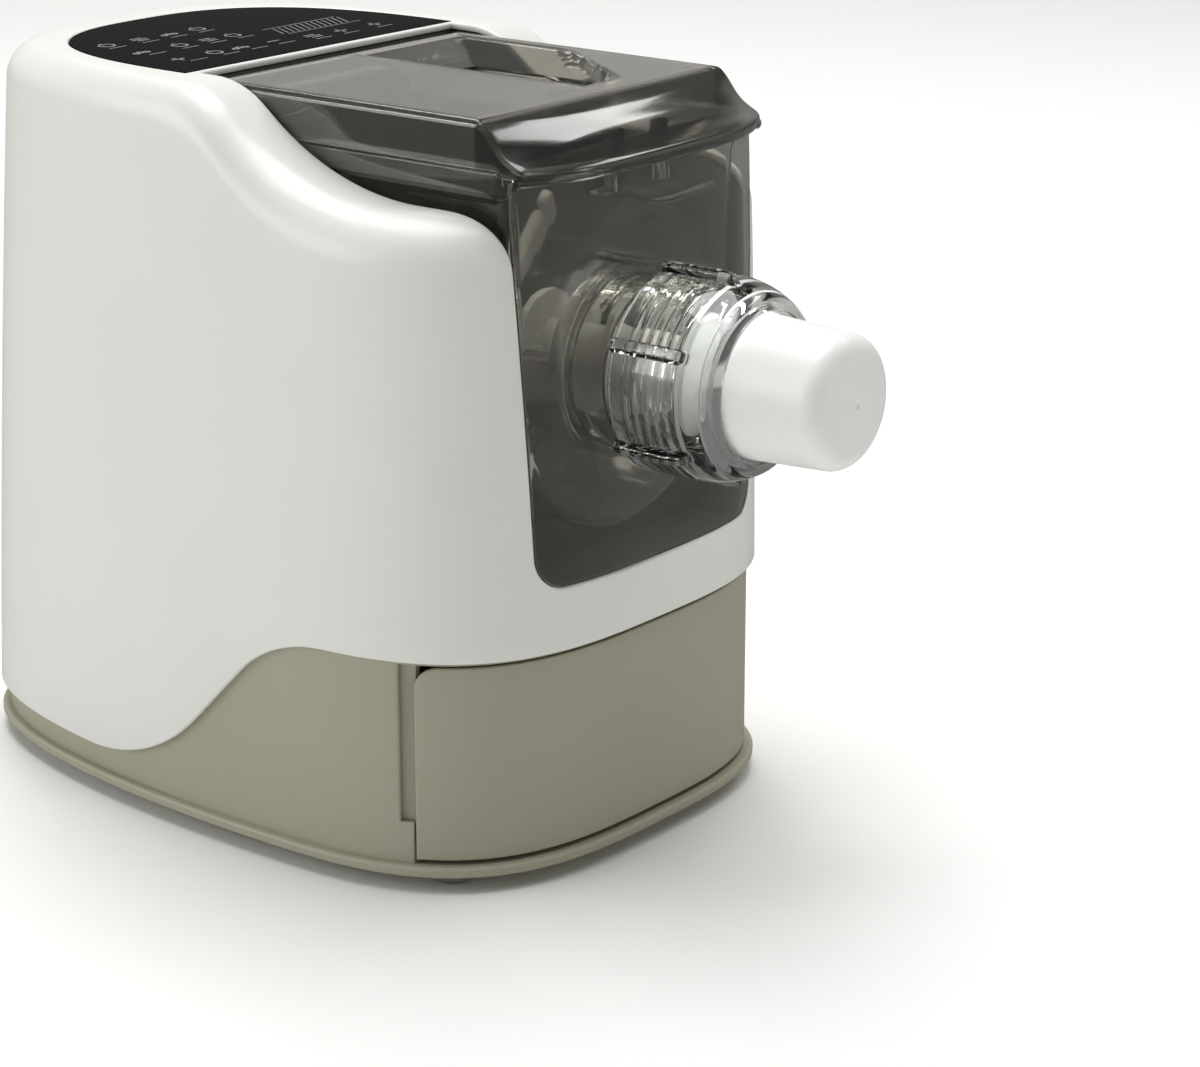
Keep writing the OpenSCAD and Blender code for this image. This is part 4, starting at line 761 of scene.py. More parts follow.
def glossy_white_abs(colours):
    # Moulded glossy ABS: broad soft highlights on the rolled shoulders over faint orange peel
    return moulded("glossy_white_abs", colours.shell, 0.012, 0.33, 0.03, 1.6, 0.02,
                   IOR=1.53, Coat_Weight=0.1, Coat_Roughness=0.2)


def satin_greige_abs(colours):
    # Spark-textured ABS: a dry, even sheen with a fine grain that breaks up the highlights
    return moulded("satin_greige_abs", colours.base, 0.02, 0.44, 0.07, 0.7, 0.03, IOR=1.53)


def smoked_polycarbonate(colours):
    # Smoked polycarbonate: polished dark walls with sharp reflections, a little haze inside
    return moulded("smoked_polycarbonate", colours.smoke, 0.03, 0.03, 0.012, 2.5, 0.004,
                   IOR=1.58, Transmission_Weight=0.96)


def deep_smoked_polycarbonate(colours):
    # The same smoke with a darker tint for the visor: painted shade that keeps it dark against
    # the white floor
    return moulded("deep_smoked_polycarbonate", colours.deep_smoke, 0.04, 0.08, 0.02, 2.5,
                   0.004, IOR=1.58, Transmission_Weight=0.97)


def pale_smoked_polycarbonate(colours):
    # Thinly tinted polycarbonate: the paddle and the frames behind it read clearly
    return moulded("pale_smoked_polycarbonate", colours.pale_smoke, 0.02, 0.03, 0.012, 2.5,
                   0.004, IOR=1.58, Transmission_Weight=0.98)


def clear_polycarbonate(colours):
    # Water-clear polycarbonate: bright rims and bent reflections in the nut's thread
    return moulded("clear_polycarbonate", colours.clear, 0.005, 0.02, 0.01, 3.0, 0.006,
                   IOR=1.58, Transmission_Weight=1.0)


def frosted_polypropylene(colours):
    # Polypropylene: a milky body that light creeps into, under a soft wax-like sheen
    return moulded("frosted_polypropylene", colours.frosted, 0.02, 0.4, 0.05, 0.9, 0.02,
                   IOR=1.49, Subsurface_Weight=0.3, Subsurface_Scale=0.004)


def white_acetal(colours):
    # Acetal: the dense, slightly waxy white of the die cap and the screw
    return moulded("white_acetal", colours.white, 0.008, 0.32, 0.04, 0.8, 0.012, IOR=1.48,
                   Subsurface_Weight=0.2, Subsurface_Scale=0.003)


def matt_panel_film(colours):
    # Matt polyester film over the keys: ink black, with a wide dull sheen instead of a mirror
    return moulded("matt_panel_film", colours.film, 0.1, 0.55, 0.04, 1.2, 0.006,
                   IOR=1.5, Specular_IOR_Level=0.02)


def grey_panel_ink(colours):
    # Screen-printed ink: flat grey, thin at its edges
    return moulded("grey_panel_ink", colours.ink, 0.15, 0.5, 0.1, 0.6, 0.004, IOR=1.5)


def grey_foot_rubber(colours):
    # Rubber: matt and slightly dusty
    return moulded("grey_foot_rubber", colours.rubber, 0.06, 0.78, 0.06, 0.5, 0.05, IOR=1.52)


def charcoal_nylon(colours):
    # Glass-filled nylon of the frames: dull, dark and a little mottled by its fibres
    return moulded("charcoal_nylon", colours.frame, 0.1, 0.52, 0.08, 0.8, 0.03, IOR=1.53)


def white_silicone(colours):
    # Silicone of the seals: soft and slightly greasy
    return moulded("white_silicone", colours.seal, 0.03, 0.55, 0.06, 0.6, 0.02, IOR=1.41)


def lacquered_laminate(colours):
    # Circuit board: green lacquer over glass cloth, whose weave shows as a fine ripple
    return moulded("lacquered_laminate", colours.board, 0.15, 0.32, 0.05, 0.5, 0.03,
                   IOR=1.5)


def drawn_steel(colours):
    # Drawn steel: long streaks in the highlights of shafts, pins and the motor can
    return moulded("drawn_steel", colours.steel, 0.04, 0.28, 0.1, 0.5, 0.01,
                   stretch=(1, 0.05, 1), Metallic=1.0)


def sintered_bronze(colours):
    # Sintered bronze: warm and porous
    return moulded("sintered_bronze", colours.bronze, 0.08, 0.42, 0.08, 0.4, 0.03,
                   Metallic=1.0)


def ivory_nylon(colours):
    # Nylon of the wheels: ivory, with a soft sheen on the teeth
    return moulded("ivory_nylon", colours.wheels, 0.03, 0.42, 0.05, 0.6, 0.015, IOR=1.53,
                   Subsurface_Weight=0.1, Subsurface_Scale=0.002)


def slate_nylon(colours):
    # Glass-filled nylon of the gearbox: blue-grey with a dry, fibrous skin
    return moulded("slate_nylon", colours.gearbox, 0.06, 0.55, 0.08, 0.5, 0.04, IOR=1.53)


def iron_laminations(colours):
    # Stacked iron sheet: fine rings across the motor's axis, drawn 1 mm apart so they show
    return moulded("iron_laminations", colours.iron, 0.1, 0.45, 0.15, 1.0, 0.06,
                   stretch=(0.03, 1, 0.03), Metallic=1.0)


def orange_acetal(colours):
    # Acetal of the switch pin in its signal colour
    return moulded("orange_acetal", colours.signal, 0.03, 0.35, 0.04, 0.6, 0.01, IOR=1.48)


def finish(maker):
    """The material of a maker function, made once."""
    made = bpy.data.materials.get(maker.__name__)
    return made or maker(bpy.context.scene.pasta_colours)


SLOT_FINISHES = {
    "white_shell": glossy_white_abs, "greige_base": satin_greige_abs,
    "grey_rubber": grey_foot_rubber, "grey_plastic": charcoal_nylon,
    "white_plastic": white_acetal, "smoked_plastic": smoked_polycarbonate,
    "frosted_plastic": frosted_polypropylene, "clear_plastic": clear_polycarbonate,
    "silicone": white_silicone, "panel_black": matt_panel_film,
    "circuit_board": lacquered_laminate, "steel": drawn_steel, "bronze": sintered_bronze,
    "nylon_gear": ivory_nylon, "case_plastic": slate_nylon, "lamination": iron_laminations,
    "orange_plastic": orange_acetal,
}


# ------------------------------------------------------------------ white housing


def housing_rings(edge, columns, walls, rolls):
    """Rings of the housing's skin from its lower edge up to the end of the rolled edge."""
    rows = []
    for k in range(walls + rolls + 1):
        row = []
        for i in range(columns):
            turn = 360 * i / columns
            p = plan_point(turn, 0)
            roll = roll_w(lean_y(p[1], DECK_Z))
            f = math.radians(90 * max(0, k - walls) / rolls)
            q = plan_point(turn, roll * (1 - math.cos(f)))
            top = top_z(lean_y(q[1], DECK_Z))
            low = skirt_z(p[1]) + edge
            if k <= walls:
                z = low + (top - roll - low) * k / walls
            else:
                z = top - roll * (1 - math.sin(f))
            row.append(leaned(q, z))
        rows.append(row)
    return rows


def build_housing(sizes):
    """The white housing: one leaned, rolled skin with the bay, panel bed, gland and vents."""
    bm = bmesh.new()
    edge = sizes.shell_edge / MM
    rows = housing_rings(edge, PLAN_STEPS, WALL_ROWS, ROLL_ROWS)
    grid(bm, rows, wrap=True)
    reach = PLAN_STEPS // 4 - TIP_COLUMNS
    strips = []
    for i in range(-reach, reach + 1):
        right, left = rows[-1][i % PLAN_STEPS], rows[-1][(PLAN_STEPS // 2 - i) % PLAN_STEPS]
        strips.append([tuple(right[c] + (left[c] - right[c]) * t / DECK_STRIPS for c in range(3))
                       for t in range(DECK_STRIPS + 1)])
    grid(bm, strips)
    tip = rows[-1][reach:PLAN_STEPS // 2 - reach + 1] + strips[-1][-2:0:-1]
    bm.faces.new([bm.verts.new(p) for p in tip])
    weld(bm)
    face_out(bm, (0, 40, 150))
    bay = outline_planes(bay_outline(-edge), (0, 2))
    bay.append(((0, BAY_BACK + edge, 0), (0, 1, 0)))
    cut_convex(bm, bay, lambda c: c.y < BAY_BACK + 12)
    panel = outline_planes(panel_outline(GAP + edge, 40), (0, 1))
    cut_convex(bm, panel, lambda c: c.z > DECK_Z - 0.5 and c.y > BAY_BACK - 4)
    gland = outline_planes(circle(GLAND_X, GLAND_Z, GLAND_HOLE_R + edge), (0, 2))
    cut_convex(bm, gland, lambda c: c.y > 120 and c.x < 0 and c.z < 70)
    near, far = VENT_ENDS
    for i in range(VENT_COUNT):
        z, r = VENT_Z + VENT_PITCH * i, VENT_R + edge
        slot = [(near - r, z)] + arc(near, z, r, 150, 90, 3)
        slot += arc(far, z, r, 90, -90, 6) + arc(near, z, r, -90, -150, 3)
        cut_convex(bm, outline_planes(slot, (0, 2)),
                   lambda c: c.y > 120 and 0 < c.x < 80 and 50 < c.z < 120)
    weld(bm, 0.03)
    thicken(bm, SHELL_WALL, edge)
    make_piece("white_housing", bm, finish(glossy_white_abs), "housing",
               ["outer_shell"])


# ------------------------------------------------------------------ greige base and drawer


def raise_walls(bm, where, height, cap=False):
    """Walls of upright holes, from their open rims up to a height, capped there if asked."""
    rims = [e for e in bm.edges if len(e.link_faces) == 1
            and where((e.verts[0].co + e.verts[1].co) / 2)]
    tops = {v: bm.verts.new((v.co.x, v.co.y, height))
            for v in once(v for e in rims for v in e.verts)}
    for e in rims:
        a, b = e.verts
        bm.faces.new((a, b, tops[b], tops[a]))
    if cap:
        ends = [bm.edges.get([tops[v] for v in e.verts]) for e in rims]
        bmesh.ops.holes_fill(bm, edges=ends, sides=0)


def build_flange():
    """The greige flange plate with its rounded edge, the grille and the screws' recesses."""
    bm = bmesh.new()
    r = PLATE_ROUND
    turns = [math.radians(10 * k) for k in range(10)]
    levels = [(r * (1 - math.sin(a)), PLATE_LOW + r * (1 - math.cos(a))) for a in turns]
    levels += [(r * (1 - math.cos(a)), PLATE_TOP - r * (1 - math.sin(a))) for a in turns]
    made = grid(bm, [[(*plan_point(360 * i / PLATE_STEPS, inset), z) for i in range(PLATE_STEPS)]
                     for inset, z in levels], wrap=True)
    bm.faces.new(list(reversed(made[0])))
    bm.faces.new(made[-1])
    flat = [f for f in bm.faces if len(f.verts) > 4]
    # Strips whose ends keep clear of the grille and the screws
    for y in PLATE_SPLITS:
        flat = split(bm, flat, (0, y, 0), (0, 1, 0))
    low, high = PLATE_LOW + 0.1, PLATE_TOP - 0.1
    front, back = GRILLE_ENDS
    for i in range(GRILLE_COUNT):
        x = (i - GRILLE_COUNT // 2) * GRILLE_PITCH
        slot = slot_outline(x, front, back, GRILLE_R, 6)
        cut_convex(bm, outline_planes(slot, (0, 1)),
                   lambda c: 60 < c.y < 150 and (c.z < low or c.z > high))
    raise_walls(bm, lambda c: c.z < low, PLATE_TOP)
    weld(bm)
    for x, y in SCREW_PLACES:
        ring = circle(x, y, SCREW_R, 24)
        cut_convex(bm, outline_planes(ring, (0, 1)), lambda c: abs(c.y - y) < 30 and c.z < low)
    raise_walls(bm, lambda c: c.z < low, PLATE_TOP - SCREW_SEAT, True)
    weld(bm)
    bmesh.ops.recalc_face_normals(bm, faces=bm.faces)
    make_piece("base_flange", bm, finish(satin_greige_abs), "housing",
               ["base_plate"])


def build_wall(sizes):
    """The greige side walls with the drawer's opening and the backs of the finger grooves."""
    bm = bmesh.new()
    edge = sizes.base_edge / MM
    rows = []
    for k in range(BASE_ROWS + 1):
        row = []
        for i in range(PLAN_STEPS + 1):
            p = plan_point(360 * i / PLAN_STEPS - 90, BASE_STEP)
            top = skirt_z(p[1]) - GAP + BASE_OVERLAP
            row.append((p[0], p[1], PLATE_TOP + (top - PLATE_TOP) * k / BASE_ROWS))
        rows.append(row)
    grid(bm, rows)
    weld(bm)
    face_out(bm, (0, 40, 40))
    front = [((0, -DRAWER_EDGE + SEAM + edge, 0), (0, 1, 0)),
             ((0, 0, OPENING_TOP + edge), (0, 0, 1))]
    cut_convex(bm, front, lambda c: c.y < -40)
    groove = [((0, -DRAWER_EDGE + GROOVE_W + edge, 0), (0, 1, 0)),
              ((0, 0, GROOVE_Z - edge), (0, 0, -1)),
              ((0, 0, OPENING_TOP + edge), (0, 0, 1))]
    cut_convex(bm, groove, lambda c: c.y < -40)
    weld(bm)
    thicken(bm, BASE_WALL, edge)
    inset = BASE_STEP + BASE_WALL - 0.02
    for side in (1, -1):
        rings = [[(side * (side_x(y, inset) - deep), y, z) for deep, z in
                  ((0, PLATE_TOP), (0, DRAWER_TOP), (GROOVE_BACK_T, DRAWER_TOP),
                   (GROOVE_BACK_T, PLATE_TOP))] for y in range(*GROOVE_BACK)]
        made = grid(bm, rings, wrap=True)
        bm.faces.new(made[0])
        bm.faces.new(made[-1])
        bmesh.ops.recalc_face_normals(
            bm, faces=once(f for ring in made for v in ring for f in v.link_faces))
    make_piece("base_wall", bm, finish(satin_greige_abs), "housing",
               ["base_housing"])


def build_drawer(sizes):
    """The drawer's curved face with its rounded upper corners."""
    bm = bmesh.new()
    edge = sizes.base_edge / MM
    half_turn = math.degrees(math.atan2(DRAWER_EDGE, side_x(-DRAWER_EDGE, BASE_STEP)))
    start = DRAWER_SPARE_TURN - half_turn
    sweep = 180 + 2 * DRAWER_SPARE_TURN - 2 * half_turn
    rows = []
    for k in range(DRAWER_ROWS + 1):
        z = DRAWER_LOW + edge + (DRAWER_TOP - DRAWER_LOW - 2 * edge) * k / DRAWER_ROWS
        rows.append([(*plan_point(start - sweep * i / DRAWER_COLUMNS, BASE_STEP), z)
                     for i in range(DRAWER_COLUMNS + 1)])
    grid(bm, rows)
    face_out(bm, (0, -40, 40))
    outline = [(-DRAWER_EDGE - edge, DRAWER_LOW - 20)]
    outline += arc(-DRAWER_EDGE - DRAWER_CORNER, DRAWER_TOP - DRAWER_CORNER,
                   DRAWER_CORNER - edge, 0, 90, 8)
    outline += [(-FRONT - 20, DRAWER_TOP - edge), (-FRONT - 20, DRAWER_LOW - 20)]
    cut_convex(bm, outline_planes(outline, (1, 2)), lambda c: True, keep=True)
    thicken(bm, BASE_WALL, edge)
    make_piece("drawer_face", bm, finish(satin_greige_abs), "drawer",
               ["drawer_front"])


def build_feet():
    """Four rubber feet with rolled lower edges."""
    for name, (x, y) in FOOT_PLACES.items():
        bm = bmesh.new()
        profile = [(AXIS_R, FOOT_DISH), (4.2, FOOT_DISH), (4.6, 0.0)]
        profile += arc(6.1, FOOT_ROLL, FOOT_ROLL, -90, -20, 8)
        profile += [(FOOT_R, FOOT_HEIGHT), (AXIS_R, FOOT_HEIGHT)]
        lathe(bm, profile, (x, y), 64, "z")
        face_out(bm, (x, y, 3))
        make_piece("rubber_foot_" + name, bm, finish(grey_foot_rubber), "housing",
                   ["foot_" + name])


# ------------------------------------------------------------------ smoked bay


def build_window(sizes):
    """The smoked front window, bowed like the housing, with the barrel's hole."""
    bm = bmesh.new()
    edge = sizes.smoked_edge / MM
    low, high = BAY_LOW - 2, WINDOW_TOP - edge
    grid(bm, [[(x, -front_face(x, z, GAP), z)
               for x in (-BAY_HALF + 2 * BAY_HALF * i / WINDOW_COLUMNS
                        for i in range(WINDOW_COLUMNS + 1))]
              for z in (low + (high - low) * k / WINDOW_ROWS for k in range(WINDOW_ROWS + 1))])
    face_out(bm, (0, 0, AXIS_Z))
    cut_convex(bm, outline_planes(bay_outline(SEAM + edge), (0, 2)), lambda c: True, keep=True)
    hole = outline_planes(circle(0, AXIS_Z, BARREL_R + 0.5 + edge, 72), (0, 2))
    cut_convex(bm, hole, lambda c: abs(c.x) < 45 and abs(c.z - AXIS_Z) < 45)
    weld(bm, 0.02)
    thicken(bm, WINDOW_T, edge)
    make_piece("smoked_window", bm, finish(pale_smoked_polycarbonate), "housing",
               ["front_window"])


def build_liner():
    """The dark sleeve between the bay's frame and the housing's front wall: painted shade on the
    bay's sides.
    """
    bm = bmesh.new()
    rows = []
    top = SHOULDER_Z - SHELL_WALL - 0.6
    outline = bay_outline(-GAP)[2:-2]
    drop = top - BAY_LOW - 2 * BAY_CORNER
    side = [(BAY_HALF + GAP, top - drop * k / SLEEVE_ROWS) for k in range(SLEEVE_ROWS)]
    for x, z in side + outline + [(-x, z) for x, z in reversed(side)]:
        rise = max(0.0, min(1.0, (z + 3 - SHOULDER_Z + SHOULDER_ROLL) / SHOULDER_ROLL))
        inset = SHOULDER_ROLL * (1 - math.sqrt(1 - rise * rise))
        front = front_face(x, z, inset) - SHELL_WALL - 0.4
        rows.append([(x, -SLEEVE_BACK - (front - SLEEVE_BACK) * k / SLEEVE_COLUMNS, z)
                     for k in range(SLEEVE_COLUMNS + 1)])
    grid(bm, rows)
    face_out(bm, (0, -80, AXIS_Z))
    bmesh.ops.reverse_faces(bm, faces=bm.faces)
    thicken(bm, SLEEVE_WALL, 0.2, 2)
    # A dark sleeve in place of the shaded inner face of the housing: painted shade
    make_piece("bay_sleeve", bm, finish(charcoal_nylon), "housing")


def tub_section(inset, edge):
    """Section of the tub from its left rim round the trough to its right rim."""
    left = [(inset - x, z) for x, z in ((TUB_SIDE[0][0], TUB_RIM - edge), *TUB_SIDE)]
    return (left + arc(0, AXIS_Z, TUB_R - inset, 180, 360, TUB_TURNS)
            + [(-x, z) for x, z in reversed(left)])


def build_tub(sizes):
    """The smoked mixing tub: a round trough with flared sides and a stepped rim."""
    bm = bmesh.new()
    edge = sizes.smoked_edge / MM
    ends = [(TUB_CORNER * (1 - math.sin(t)), TUB_CORNER * (1 - math.cos(t)))
            for t in (math.radians(15 * k) for k in range(7))]
    rows = [(inset, -TUB_FRONT + far) for inset, far in ends]
    length = TUB_BACK + TUB_FRONT - 2 * TUB_CORNER
    rows += [(0.0, -TUB_FRONT + TUB_CORNER + length * k / TUB_ROWS) for k in range(1, TUB_ROWS)]
    rows += [(inset, TUB_BACK - far) for inset, far in reversed(ends)]
    lines = [[(x, y, z) for x, z in tub_section(inset, edge)] for inset, y in rows]
    grid(bm, lines)
    for line in (lines[0], lines[-1]):
        half = len(line) // 2
        grid(bm, [[tuple(p[c] + (q[c] - p[c]) * t / TUB_END_COLUMNS for c in range(3))
                   for t in range(TUB_END_COLUMNS + 1)]
                  for p, q in zip(line[:half + 1], reversed(line[half:]))])
    weld(bm)
    face_out(bm, (0, -20, 200))
    for radius, where in ((TUB_NOSE_HOLE, lambda c: c.y < -TUB_FRONT + 0.5),
                          (TUB_SHAFT_HOLE, lambda c: c.y > TUB_BACK - 0.5)):
        cut_convex(bm, outline_planes(circle(0, AXIS_Z, radius + edge), (0, 2)), where)
    weld(bm, 0.02)
    thicken(bm, TUB_WALL, edge)
    make_piece("smoked_tub", bm, finish(pale_smoked_polycarbonate), "housing",
               ["mixing_tub"])


# ------------------------------------------------------------------ lid


def smooth_line(points, per):
    """Points of a smooth curve through the given ones, per to each of its spans."""
    out = []
    for i in range(len(points) - 1):
        a, b, c, d = (points[max(0, min(len(points) - 1, i + k))] for k in (-1, 0, 1, 2))
        for s in range(per):
            t = s / per
            out.append(tuple(
                0.5 * (2 * b[k] + (c[k] - a[k]) * t
                       + (2 * a[k] - 5 * b[k] + 4 * c[k] - d[k]) * t * t
                       + (3 * b[k] - a[k] - 3 * c[k] + d[k]) * t ** 3)
                for k in range(len(b))))
    return out + [tuple(points[-1])]


def lid_row(station, top, low, corner):
    """Section of the lid from the left skirt over the top to the right one."""
    half, brow = LID_HALF, top - corner
    levels = [low + (brow - low) * t for t in (0, 0.25, 0.5, 0.75)]
    if brow > HINGE_Z and low < HINGE_Z - 5:
        levels = [low, *SKIRT_LEVELS, HINGE_Z]
    row = [(-half, z) for z in levels]
    row += [(-x, z) for x, z in arc(half - corner, brow, corner, 0, 90, 6)]
    row += [(-(half - corner) + 2 * (half - corner) * i / LID_COLUMNS, top)
            for i in range(1, LID_COLUMNS)]
    row += arc(half - corner, brow, corner, 90, 0, 6)
    row += [(half, z) for z in reversed(levels)]
    return [(x, station(x), z) for x, z in row]


def funnel_depth(x, y):
    """Depth of the water funnel below the flat top."""
    x0, x1, y0, y1 = FUNNEL_FLOOR
    (_, back), (right, _), (_, bend), (_, front), _ = FUNNEL
    run = Vector((FUNNEL[3][0] - right, front - bend)).normalized()
    off = -(x - right) * run.y + (y - bend) * run.x
    d = min(FUNNEL_DEPTH * (back - y) / (back - y1), FUNNEL_DEPTH * (right - x) / (right - x1),
            FUNNEL_DEPTH * (y - front) / (y0 - front), FUNNEL_DEPTH * -off / STEEP,
            FUNNEL_DEPTH * (x - x0) / STEEP)
    if d < FUNNEL_DEPTH - 1e-3:
        return max(0.0, d)
    rim = min(x - x0 - SUMP_INSET, x1 - x, y - y0, y1 - y)
    return FUNNEL_DEPTH + (SUMP_DEPTH - FUNNEL_DEPTH) * max(0.0, min(1.0, rim / STEEP))


def sink_funnel(bm):
    """Press the water funnel and its sump into the lid's flat top."""
    x0, x1, y0, y1 = FUNNEL_FLOOR
    (_, back), (right, _), (_, bend), (left, front), _ = FUNNEL
    sump = x0 + SUMP_INSET
    lines = [((x, 0), (1, 0))
             for x in (x0, x0 + STEEP, sump, sump + STEEP, x1 - STEEP, x1, right)]
    lines += [((0, y), (0, 1)) for y in (back, front, y0, y0 + STEEP, y1 - STEEP, y1)]
    slant = Vector((bend - front, left - right)).normalized()
    lines += [((right, bend), slant),
              ((right + STEEP * slant.x, bend + STEEP * slant.y), slant)]
    for p, q in (((right, back), (x1, y1)), ((right, bend), (x1, y0)), ((left, front), (x1, y0))):
        lines.append((p, (q[1] - p[1], p[0] - q[0])))
    flat = [f for f in bm.faces
            if abs(f.calc_center_median().z - LID_Z) < 1e-3
            and 0 < f.calc_center_median().x < right + 3
            and front - 5 < f.calc_center_median().y < back + 5]
    for p, n in lines:
        flat = split(bm, flat, (*p, 0), (*n, 0))
    for v in once(v for f in flat for v in f.verts):
        if x0 < v.co.x < right and front < v.co.y < back:
            v.co.z -= funnel_depth(v.co.x, v.co.y)


def build_lid(sizes):
    """The smoked lid: flat top, skirts, rolled hinge, swept visor, water funnel and catch."""
    bm = bmesh.new()
    edge = sizes.smoked_edge / MM
    low = LID_SKIRT + edge
    rows = [lid_row(lambda x: HINGE_Y - (HINGE_Y + LID_FLAT) * k / LID_ROWS, LID_Z, low,
                    LID_CORNER) for k in range(LID_ROWS + 1)]
    grid(bm, rows)
    curl = [p for p in rows[0] if p[2] > HINGE_Z - 0.01]
    grid(bm, [[(x, HINGE_Y + (z - HINGE_Z) * math.sin(a), HINGE_Z + (z - HINGE_Z) * math.cos(a))
               for x, _, z in curl]
              for a in (math.radians(15 * k) for k in range(CURL_ROWS + 1))])
    visor = []
    for share, drop in smooth_line(VISOR, 3):
        top = LID_Z - drop
        corner = max(0.8, LID_CORNER - 20 * share)
        near = LID_FLAT + share * (front_face(LID_HALF, LID_SKIRT, 0) + LIP_REACH - LID_FLAT)
        foot = low if near < TUB_FRONT - TUB_WALL + 0.5 else WINDOW_TOP + 0.5 + edge
        visor.append(lid_row(
            lambda x: -(LID_FLAT + share * (front_face(x, LID_SKIRT, 0) + LIP_REACH - LID_FLAT)),
            top, min(foot, top - corner), corner))
    grid(bm, visor)
    weld(bm)
    face_out(bm, (0, -20, 240))
    sink_funnel(bm)
    front, back = SUMP_ENDS
    for i in range(SUMP_SLOTS):
        slot = slot_outline(SUMP_FIRST + SUMP_PITCH * i, front, back, SUMP_SLOT_R, 5)
        cut_convex(bm, outline_planes(slot, (0, 1)),
                   lambda c: 260 < c.z < LID_Z - SUMP_DEPTH + 0.1)
    cut_convex(bm, outline_planes(circle(HINGE_Y, HINGE_Z, PIN_HOLE_R + edge, 16), (1, 2)),
               lambda c: abs(c.x) > LID_HALF - 0.1 and c.y > 30)
    weld(bm)
    thicken(bm, LID_WALL, edge)
    for outline in CATCH_SHAPES:
        prism(bm, [(x, CATCH_Z + z) for x, z in outline], (0, 2), (CATCH_Y, CATCH_Y + CATCH_W),
              0.35)
    # The finger that presses the interlock pin
    prism(bm, box_outline(HINGE_Y + 0.5, HINGE_Y + 3.4, HINGE_Z - 10, HINGE_Z), (1, 2),
          SWITCH_FINGER, 0.4)
    lid = make_piece("smoked_lid", bm, finish(smoked_polycarbonate), "lid",
                     ["lid"])
    # The visor's faces take the darker smoke: painted shade
    lid.data.materials.append(finish(deep_smoked_polycarbonate))
    crease = to_world((0, -LID_FLAT - 0.5, 0)).y
    for face in lid.data.polygons:
        face.material_index = 1 if face.center.y < crease else 0


# ------------------------------------------------------------------ nozzle


def throat_ring(r, y):
    """Ring of the barrel with one point at each side of the throat's cut."""
    rise = math.degrees(math.asin(THROAT_RISE / r))
    ring = arc(0, AXIS_Z, r, rise, 180 - rise, 60) + arc(0, AXIS_Z, r, 180 - rise, 360 + rise, 68)
    return [(x, y, z) for x, z in ring[:60] + ring[61:-1]]


def build_barrel():
    """The smoked barrel: nose, clamping flange and open feed throat."""
    bm = bmesh.new()
    flange = -TUB_FRONT + TUB_WALL
    skin, nose = BARREL_R - 0.2, -BARREL_FRONT
    profile = [(BARREL_BORE, -THROAT_START), (BARREL_BORE, nose + 0.6), (BARREL_BORE + 0.6, nose),
               (BARREL_R - 1, nose), (BARREL_R - 0.3, nose + 0.3), (BARREL_R, nose + 1),
               (BARREL_R, nose + 18), (skin, nose + 18.3), (skin, flange),
               (BARREL_FLANGE_R - 0.6, flange + 0.02), (BARREL_FLANGE_R, flange + 0.5),
               (BARREL_FLANGE_R, flange + BARREL_FLANGE_T - 0.5),
               (BARREL_FLANGE_R - 0.5, flange + BARREL_FLANGE_T),
               (skin, flange + BARREL_FLANGE_T), (skin, -THROAT_START)]
    rows = [throat_ring(r, y) for r, y in profile]
    grid(bm, rows, wrap=True)
    grid(bm, [rows[0][:61], rows[-1][:61]])
    throat = [(BARREL_BORE, -THROAT_START), (BARREL_BORE, -THROAT_BACK - 0.7),
              (BARREL_BORE + 0.7, -THROAT_BACK), (skin - 0.7, -THROAT_BACK),
              (skin, -THROAT_BACK - 0.7), (skin, -THROAT_START)]
    lower = [throat_ring(r, y) for r, y in throat]
    lower = [ring[60:] + ring[:1] for ring in lower]
    grid(bm, lower)
    for k in (0, -1):
        bm.faces.new([bm.verts.new(ring[k]) for ring in lower])
    weld(bm)
    bmesh.ops.recalc_face_normals(bm, faces=bm.faces)
    make_piece("smoked_barrel", bm, finish(pale_smoked_polycarbonate), "housing",
               ["barrel"])


